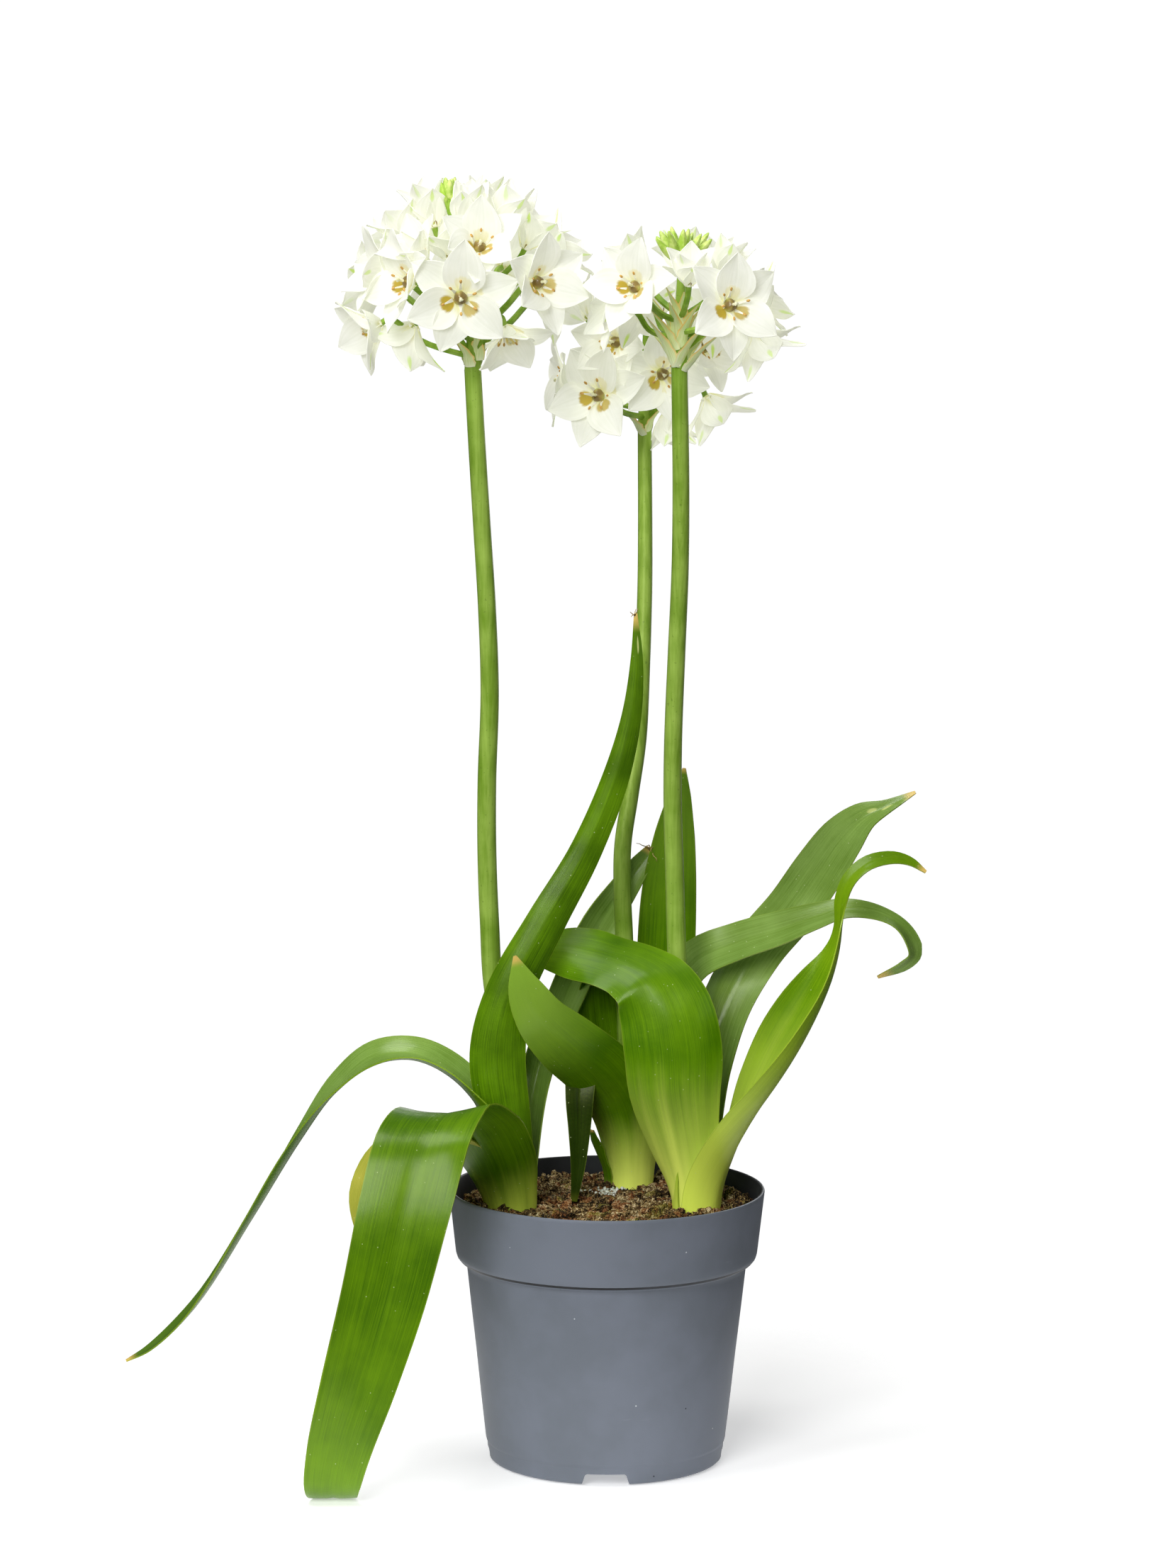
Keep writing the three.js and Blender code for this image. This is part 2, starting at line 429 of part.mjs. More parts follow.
// One open flower on its pedicel: a six-pointed star of broad tepals that share one sheet, with
// the ovary standing in it. route leads from inside the rachis to just behind the flower, and
// open is how far, in degrees, the tepals rise from the flower's own flat plane.
function bloom({ centre, facing, length, open, spin, route }, grow = 0) {
  const sideways = Math.abs(facing.z) < 0.9 ? up : new THREE.Vector3(1, 0, 0);
  const across = sideways.clone().cross(facing).normalize().applyAxisAngle(facing, spin);
  const half = TEPAL_THICK / 2 + grow;
  const corners = [];

  const sixRound = (place, along, radius) => {
    const first = across.clone().addScaledVector(along, -across.dot(along)).normalize();
    const second = along.clone().cross(first);
    return [0, 1, 2, 3, 4, 5].map((k) => {
      const angle = (Math.PI * (k - 0.5)) / 3;
      corners.push(place.clone()
        .addScaledVector(first, radius * Math.cos(angle))
        .addScaledVector(second, radius * Math.sin(angle)));
      return corners.length - 1;
    });
  };

  const onTepal = (reach, angle, rise) => {
    const radial = across.clone().applyAxisAngle(facing, angle);
    const tilt = THREE.MathUtils.degToRad(rise);
    const normal = facing.clone().multiplyScalar(Math.cos(tilt)).addScaledVector(radial, -Math.sin(tilt));
    const middle = centre.clone()
      .addScaledVector(radial, reach * Math.cos(tilt))
      .addScaledVector(facing, reach * Math.sin(tilt));
    corners.push(middle.clone().addScaledVector(normal, half), middle.addScaledVector(normal, -half));
    return corners.length - 2;
  };

  const full = length + 2 * grow;
  const shoulder = 0.47;
  const tepals = [0, 1, 2, 3, 4, 5].map((k) => {
    const angle = (Math.PI * k) / 3;
    return {
      valley: onTepal(0.46 * full, angle - Math.PI / 6, open * 0.95),
      right: onTepal(0.66 * full, angle - shoulder, open + 4),
      left: onTepal(0.66 * full, angle + shoulder, open + 4),
      tip: onTepal(full, angle, open - 3),
    };
  });

  const pedicel = new THREE.CatmullRomCurve3([...route, centre]);
  const footRing = sixRound(pedicel.getPoint(0), pedicel.getTangent(0), PEDICEL_RADIUS + grow);
  const middleRing = sixRound(pedicel.getPoint(0.5), pedicel.getTangent(0.5), PEDICEL_RADIUS + grow);
  const backRing = sixRound(centre.clone().addScaledVector(facing, -half), facing, 1.3 + grow);
  const ovaryRing = sixRound(centre.clone().addScaledVector(facing, half), facing, OVARY_RADIUS + grow);
  corners.push(centre.clone().addScaledVector(facing, OVARY_HEIGHT + grow));
  const apex = corners.length - 1;

  const index = [];
  const sheet = (a, b, c) => index.push(a, b, c, a + 1, c + 1, b + 1);
  const wall = (a, b) => quads(index, a, a + 1, b + 1, b);
  const rungs = (low, high, k, after) => quads(index, low[k], low[after], high[after], high[k]);
  tepals.forEach(({ valley, right, left, tip }, k) => {
    const after = (k + 1) % 6;
    const next = tepals[after].valley;
    sheet(valley, right, next);
    sheet(right, left, next);
    sheet(right, tip, left);
    wall(valley, right);
    wall(right, tip);
    wall(tip, left);
    wall(left, next);
    quads(index, ovaryRing[k], valley, next, ovaryRing[after]);
    index.push(apex, ovaryRing[k], ovaryRing[after]);
    quads(index, next + 1, valley + 1, backRing[k], backRing[after]);
    rungs(footRing, middleRing, k, after);
    rungs(middleRing, backRing, k, after);
    if (k > 0 && k < 5) index.push(footRing[0], footRing[after], footRing[k]);
  });
  return solidOf(meshFrom(corners, index));
}

// Each flower: [x, y, z] of its centre and [x, y, z] of the way it faces, from the head's foot,
// then tepal length and how far it is closed, in degrees
const heads = {
  left: {
    height: 52,
    buds: 6,
    flowers: [
      [-4, -28, 27, -0.05, -1, -0.05, 21, 12], [23, -20, 32, 0.65, -0.75, 0, 21, 18],
      [4, -18, 44, 0.25, -0.85, 0.45, 20, 30], [-20, -18, 32, -0.85, -0.5, 0.1, 20, 32],
      [-35, -11, 19, -0.62, -0.76, -0.15, 20, 15], [-20, -10, 12, -0.45, -0.3, -0.85, 19, 42],
      [15, -8, 14, 0.4, -0.25, -0.9, 19, 40], [-1, -12, 51, 0.05, -0.55, 0.85, 20, 58],
      [-15, -2, 52, -0.4, -0.3, 0.87, 19, 52], [-25, -2, 43, -0.8, -0.3, 0.5, 20, 42],
      [13, -2, 53, 0.45, -0.2, 0.87, 19, 50], [25, 2, 45, 0.85, -0.1, 0.5, 20, 38],
      [-33, 18, 29, -0.9, 0.45, 0.1, 19, 28], [24, 18, 24, 0.85, 0.6, 0.1, 20, 26],
      [-8, 32, 28, -0.3, 1, 0.1, 20, 20], [10, 28, 36, 0.4, 0.9, 0.25, 20, 24],
      [-4, 20, 50, 0, 0.55, 0.84, 19, 46],
    ],
    bracts: [[-6, -8, 10], [8, -4, 9], [0, 9, 10]],
  },
  right: {
    height: 42,
    buds: 10,
    flowers: [
      [17, -24, 21, 0.35, -0.93, 0.05, 21, 14], [-16, -20, 27, -0.45, -0.85, 0.25, 20, 28],
      [3, -15, 35, 0.05, -0.7, 0.7, 14, 56], [28, 0, 22, 0.95, -0.2, 0.2, 20, 30],
      [28, -8, 9, 0.5, -0.2, -0.85, 19, 42], [13, 4, 36, 0.45, 0, 0.9, 18, 56],
      [-15, 6, 37, -0.55, 0.1, 0.83, 18, 52], [-24, -5, 13, -0.8, -0.55, -0.15, 20, 30],
      [11, 24, 17, 0.5, 0.85, 0, 19, 24], [-12, 20, 20, -0.6, 0.8, 0.1, 19, 24],
      [2, 18, 33, 0, 0.75, 0.65, 18, 46],
    ],
    bracts: [[-16, -10, 20], [16, -10, 16], [10, -14, 18], [-10, -14, 22], [12, 12, 18]],
  },
  middle: {
    height: 44,
    buds: 5,
    flowers: [
      [-18, -29, 13, -0.35, -0.93, 0.05, 20, 14], [6, -27, 21, 0.2, -0.95, 0.1, 20, 20],
      [-11, -25, 33, -0.25, -0.8, 0.5, 19, 30], [22, -16, 31, 0.75, -0.5, 0.3, 19, 28],
      [-22, -4, 44, -0.55, 0, 0.83, 18, 52], [-30, -8, 20, -0.78, -0.6, 0, 19, 22],
      [24, -8, 12, 0.75, -0.2, -0.6, 20, 38], [14, -6, 6, 0.25, -0.1, -0.95, 18, 46],
      [6, 5, 46, 0.2, 0.2, 0.95, 17, 54], [-13, 24, 20, -0.5, 0.85, 0.1, 19, 24],
      [13, 24, 26, 0.45, 0.85, 0.2, 19, 26],
    ],
    bracts: [[-9, -8, 9], [8, -6, 11], [2, 10, 10]],
  },
};

function headFoot(name) {
  const [x, y, z] = stalkRoutes[name].at(-1);
  return new THREE.Vector3(x, y, z + HEAD_GAP);
}

function head(name, grow = 0) {
  const { height, buds, flowers, bracts } = heads[name];
  const base = headFoot(name);
  const top = stalkRadii[name][1];
  const at = (x, y, z) => [base.x + x, base.y + y, base.z + z];
  let body = stem([at(0, 0, 0), at(0, 0, height / 2), at(0.5, 0, height)], [top + grow, 1.3 + grow], 8, 3);
  flowers.forEach(([x, y, z, dx, dy, dz, length, open], place) => {
    const centre = new THREE.Vector3(...at(x, y, z));
    const facing = new THREE.Vector3(dx, dy, dz).normalize();
    const start = Math.max(2, z * 0.72 - 6);
    const route = [
      new THREE.Vector3(...at(0, 0, start)),
      new THREE.Vector3(...at(x * 0.55, y * 0.55, (start + z) / 2 - 1.5)),
      centre.clone().addScaledVector(facing, -4),
    ];
    body = body.add(bloom({ centre, facing, length, open, spin: 0.35 + place * 1.1, route }, grow));
  });
  for (let place = 0; place < buds; place += 1) {
    const angle = place * 2.4;
    const spread = 0.9 * Math.sqrt((place + 0.4) / buds);
    const along = new THREE.Vector3(spread * Math.cos(angle), spread * Math.sin(angle), 1).normalize();
    const bottom = new THREE.Vector3(...at(0.5, 0, height - 4));
    const tip = bottom.clone().addScaledVector(along, 14);
    const radii = [0.9, 0.9, 2, 1.8, 0.4].map((radius) => radius + grow);
    body = body.add(stem([bottom.toArray(), tip.toArray()], radii, BUD_SIDES, 4));
  }
  bracts.forEach(([x, y, z]) => {
    const out = new THREE.Vector3(x, y, 0).normalize();
    const side = [out.y, -out.x, 0];
    const start = z * 0.4;
    body = body.add(leafBlade([
      [...at(out.x * 1.5, out.y * 1.5, start), 4.4, 40, ...side],
      [...at(x * 0.55, y * 0.55, (start + z) / 2), 4, 30, ...side],
      [...at(x, y, z), 1.2, 5, ...side],
    ], { grow, columns: 2, steps: 1, thick: 0.7 }));
  });
  return body;
}

// Assembly

const potted = new THREE.Group();

function addNode(name, solid, look) {
  const [color, roughness] = colours[look];
  const material = new THREE.MeshStandardMaterial({ color, roughness, metalness: 0 });
  const mesh = new THREE.Mesh(geometryOf(solid), material);
  mesh.name = name;
  potted.add(mesh);
}

const plantNames = Object.keys(plants);
const placed = plantNames.map((name) => stalk(name, GAP));
addNode('pot', pot(), 'pot');
plantNames.forEach((name) => addNode(`${name}_bulb`, bulb(plants[name]), 'bulb'));
plantNames.forEach((name) => addNode(`${name}_stalk`, stalk(name), 'stalk'));

for (const [name, [look, ...stations]] of Object.entries(leaves)) {
  addNode(name, clearOf(leafBlade(stations), placed), look);
  placed.push(leafBlade(stations, { grow: GAP }));
}

addNode('soil', clearOf(soil(), plantNames.map((name) => clumpHole(plants[name]))), 'soil');

const aroundRight = head('right', GAP);
addNode('left_head', clearOf(head('left'), [aroundRight]), 'head');
addNode('right_head', wholeBody(head('right')), 'head');
addNode('middle_head', clearOf(head('middle'), [stalk('right', GAP), aroundRight]), 'head');

const box = new THREE.Box3().setFromObject(potted);
const middle = box.getCenter(new THREE.Vector3());
potted.position.set(-middle.x, -middle.y, 0);

const plant = new THREE.Group();
plant.add(potted);

export default plant;
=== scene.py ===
# %% [markdown]
# # A potted snowflake chincherinchee
# Three bulbs grow in one grey nursery pot. Each sends up a round stalk with a head of white star
# flowers, and a clump of strap leaves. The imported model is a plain, faceted set of solids. This
# lesson loads it and dresses it: every leaf, stalk and flower is modelled again at the same
# place, finer, and gets its own finish.

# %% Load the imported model
import math
import random

import bpy
from mathutils import Matrix, Vector


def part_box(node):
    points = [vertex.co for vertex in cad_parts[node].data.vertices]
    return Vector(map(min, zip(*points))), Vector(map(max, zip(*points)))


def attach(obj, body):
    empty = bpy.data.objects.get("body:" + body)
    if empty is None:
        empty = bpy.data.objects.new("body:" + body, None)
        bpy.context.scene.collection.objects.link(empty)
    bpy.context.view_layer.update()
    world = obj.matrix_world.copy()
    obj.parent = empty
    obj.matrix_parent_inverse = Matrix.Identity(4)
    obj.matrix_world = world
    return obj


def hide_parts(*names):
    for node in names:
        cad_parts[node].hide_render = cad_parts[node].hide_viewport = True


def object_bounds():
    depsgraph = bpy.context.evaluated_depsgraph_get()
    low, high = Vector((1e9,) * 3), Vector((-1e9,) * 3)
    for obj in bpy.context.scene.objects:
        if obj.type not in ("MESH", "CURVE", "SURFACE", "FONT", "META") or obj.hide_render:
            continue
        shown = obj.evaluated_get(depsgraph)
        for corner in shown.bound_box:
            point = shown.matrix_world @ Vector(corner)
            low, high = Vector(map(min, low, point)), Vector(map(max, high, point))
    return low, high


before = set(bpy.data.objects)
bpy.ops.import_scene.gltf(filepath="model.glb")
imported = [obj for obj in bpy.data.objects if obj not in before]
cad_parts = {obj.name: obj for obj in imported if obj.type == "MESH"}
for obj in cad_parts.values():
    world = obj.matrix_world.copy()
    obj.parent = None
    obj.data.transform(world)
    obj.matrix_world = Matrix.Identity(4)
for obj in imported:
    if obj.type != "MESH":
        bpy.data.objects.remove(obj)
cad_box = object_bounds()
pot_low, pot_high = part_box("pot")
AXIS = Vector(((pot_low.x + pot_high.x) / 2, (pot_low.y + pot_high.y) / 2, 0))
print("solids", len(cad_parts), "pot axis", [round(v, 4) for v in AXIS])

# %% [markdown]
# ## Small helpers
# All sizes of the plant are written in millimetres, because that is how one measures a plant on a
# table, and its places are measured from the pot's axis. Two functions turn them into the metres
# of the model. An operator acts on everything that is selected, so another function selects what
# it is given and nothing else. A finished piece is kept inside the box of the solids, smoothed,
# and given to the frame, with the body it rides on and the solids that it replaces.

# %% Places, selection, modifiers and finishing
def metres(x, y, z):
    return Vector((x, y, z)) / 1000


def place(x, y, z):
    return metres(x, y, z) + AXIS


def pick(*objects):
    bpy.ops.object.select_all(action="DESELECT")
    for thing in objects:
        thing.select_set(True)
    bpy.context.view_layer.objects.active = objects[0]


def modify(thing, kind, **settings):
    pick(thing)
    modifier = thing.modifiers.new(kind.title(), kind)
    for name, value in settings.items():
        setattr(modifier, name, value)
    bpy.ops.object.modifier_apply(modifier=modifier.name)


def joined(name, parts):
    pick(*parts)
    bpy.ops.object.join()
    whole = bpy.context.object
    whole.name = name
    whole.data.name = name
    return whole


def dress(piece, *finishes):
    piece.data.materials.clear()
    for finish in finishes:
        piece.data.materials.append(finish)
    return piece


def settle(piece, slot, *nodes, angle=50):
    for vertex in piece.data.vertices:
        vertex.co = Vector(min(max(value, low), high) for value, low, high in zip(vertex.co, *cad_box))
    pick(piece)
    bpy.ops.object.shade_smooth_by_angle(angle=math.radians(angle))
    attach(piece, "root")
    if nodes:
        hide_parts(*nodes)
    print(piece.name, "faces", len(piece.data.polygons))


print("height of the solids in millimetres", round(cad_box[1][2] * 1000))

# %% [markdown]
# ## Finishes as formulas
# A finish is a small network of shader nodes. Wiring them by hand in code is long, so a wire is
# wrapped in a class that knows arithmetic: adding two wires adds a Math node. Each operator has a
# mirrored form, so that a number may stand in front of the wire, as in 1 - mask.

# %% A wire
def maths(operation, mirrored=False):
    def apply(wire, other):
        pair = [other, wire] if mirrored else [wire, other]
        return wire.finish.node("ShaderNodeMath", pair, operation=operation)

    return apply


class Wire:
    def __init__(self, finish, socket):
        self.finish = finish
        self.socket = socket

    def __abs__(self):
        return self.finish.node("ShaderNodeMath", [self], operation="ABSOLUTE")

    __add__, __radd__ = maths("ADD"), maths("ADD", mirrored=True)
    __sub__, __rsub__ = maths("SUBTRACT"), maths("SUBTRACT", mirrored=True)
    __mul__, __rmul__ = maths("MULTIPLY"), maths("MULTIPLY", mirrored=True)
    __truediv__, __rtruediv__ = maths("DIVIDE"), maths("DIVIDE", mirrored=True)
    __pow__, __rpow__ = maths("POWER"), maths("POWER", mirrored=True)
    __gt__, __lt__ = maths("GREATER_THAN"), maths("LESS_THAN")


print("wires ready")

# %% [markdown]
# A finish holds one material. Values that are the same all over the surface go straight on the
# shader's sockets when it is made, and what varies is set at the end. One method makes every kind
# of node from its type, its settings and the values or wires of its sockets; the others are short
# names for the nodes that are used most. Colours are written as they look on a screen and turned
# into light. The numbers of a finish are a recipe, found by comparing renders with the
# photograph: a noise's scale counts its lumps in a metre, and shares run from zero to one.

# %% A finish
class Finish:
    def __init__(self, name, **even):
        self.material = bpy.data.materials.new(name)
        self.material.use_nodes = True
        self.tree = self.material.node_tree
        self.shader = self.tree.nodes["Principled BSDF"]
        for socket, value in even.items():
            self.shader.inputs[socket.replace("_", " ")].default_value = value

    def node(self, kind, sockets=(), output=0, **settings):
        made = self.tree.nodes.new(kind)
        for name, value in settings.items():
            if name == "stops":
                for spare in range(len(value) - 2):
                    made.color_ramp.elements.new(0.5)
                for element, (position, colour) in zip(made.color_ramp.elements, value):
                    element.position = position
                    element.color = colour
            else:
                setattr(made, name, value)
        fed = sockets.items() if isinstance(sockets, dict) else enumerate(sockets)
        for socket, value in fed:
            self.feed(made.inputs[socket], value)
        return Wire(self, made.outputs[output])

    def feed(self, socket, value):
        if isinstance(value, Wire):
            self.tree.links.new(value.socket, socket)
        else:
            socket.default_value = value

    def set(self, **varying):
        for socket, value in varying.items():
            self.feed(self.shader.inputs[socket.replace("_", " ")], value)
        return self.material

    def mix(self, share, first, second):
        return self.node("ShaderNodeMix", {0: share, 6: first, 7: second}, output=2, data_type="RGBA")

    def fade(self, value, low, high):
        sockets = {"Value": value, "From Min": low, "From Max": high}
        return self.node("ShaderNodeMapRange", sockets, interpolation_type="SMOOTHSTEP")

    def ramp(self, value, stops):
        return self.node("ShaderNodeValToRGB", [value], stops=stops)

    def vector(self, x, y, z):
        return self.node("ShaderNodeCombineXYZ", [x, y, z])

    def split(self, vector):
        first = self.node("ShaderNodeSeparateXYZ", [vector])
        return [Wire(self, socket) for socket in first.socket.node.outputs]

    def noise(self, where, scale, detail=2.0, roughness=0.5):
        sockets = {"Vector": where, "Scale": scale, "Detail": detail, "Roughness": roughness}
        return self.node("ShaderNodeTexNoise", sockets)

    def specks(self, where, scale):
        near = self.node("ShaderNodeTexVoronoi", {"Vector": where, "Scale": scale})
        colour = Wire(self, near.socket.node.outputs["Color"])
        return near, self.node("ShaderNodeSeparateColor", [colour])

    def attribute(self, name):
        return self.node("ShaderNodeAttribute", output="Fac", attribute_name=name)

    def across_and_along(self):
        return self.split(self.node("ShaderNodeTexCoord", output="UV"))[:2]

    def body(self):
        return self.node("ShaderNodeTexCoord", output="Object")

    def bump(self, height, strength, distance):
        sockets = {"Strength": strength, "Distance": distance, "Height": height}
        return self.node("ShaderNodeBump", sockets)


def paint(red, green, blue):
    def light(level):
        share = level / 255
        return share / 12.92 if share <= 0.04045 else ((share + 0.055) / 1.055) ** 2.4

    return (light(red), light(green), light(blue), 1.0)


print("helpers ready")

# %% [markdown]
# ## The line of a leaf
# Every leaf follows a smooth line through a few stations that were read from the photograph. A
# Catmull-Rom spline goes through all its points, which a Bezier handle or a NURBS doesn't, so it
# is written out here, in its centripetal form for places and its even form for widths.

# %% Smooth routes
TINY = 1e-4


def route(points, even=False):
    dots = [Vector(p) for p in points]
    dots = [2 * dots[0] - dots[1], *dots, 2 * dots[-1] - dots[-2]]
    spans = len(dots) - 3

    def at(t):
        reach = min(max(t, 0.0), 1.0) * spans
        index = min(int(reach), spans - 1)
        part = reach - index
        a, b, c, d = dots[index:index + 4]
        if even:
            leave, arrive = (c - a) / 2, (d - b) / 2
        else:
            one, two, three = ((q - p).length ** 0.5 or TINY for p, q in ((a, b), (b, c), (c, d)))
            leave = ((b - a) / one - (c - a) / (one + two) + (c - b) / two) * two
            arrive = ((c - b) / two - (d - b) / (two + three) + (d - c) / three) * two
        square, cube = part ** 2, part ** 3
        return (b * (2 * cube - 3 * square + 1) + leave * (cube - 2 * square + part)
                + c * (3 * square - 2 * cube) + arrive * (cube - square))

    return at


def walk(line, steps):
    return [line(step / steps) for step in range(steps + 1)]


def length_of(points):
    dots = walk(route(points), 60)
    return sum((b - a).length for a, b in zip(dots, dots[1:]))


print("a straight line of 30 mm measures", round(length_of([(0, 0, 0), (10, 0, 0), (30, 0, 0)]), 3))

# %% [markdown]
# ## Where the leaves go
# A station is the midrib's place, the width round the section, half the angle that the section
# bends through, and the way to one margin. The first station of a leaf clasps its stalk, a little
# below the top of the soil: it is a part of a ring round the plant's middle.

# %% Plants and leaf stations
PLANTS = {"left": (-35, -5), "middle": (9, 34), "right": (34, -4)}
LEAF_FOOT = 91


def foot(plant, turn, ring, curl):
    x, y = PLANTS[plant]
    out = Vector((math.cos(math.radians(turn)), math.sin(math.radians(turn))))
    width = 2 * ring * math.radians(curl)
    return (x + ring * out.x, y + ring * out.y, LEAF_FOOT, width, curl, out.y, -out.x, 0)


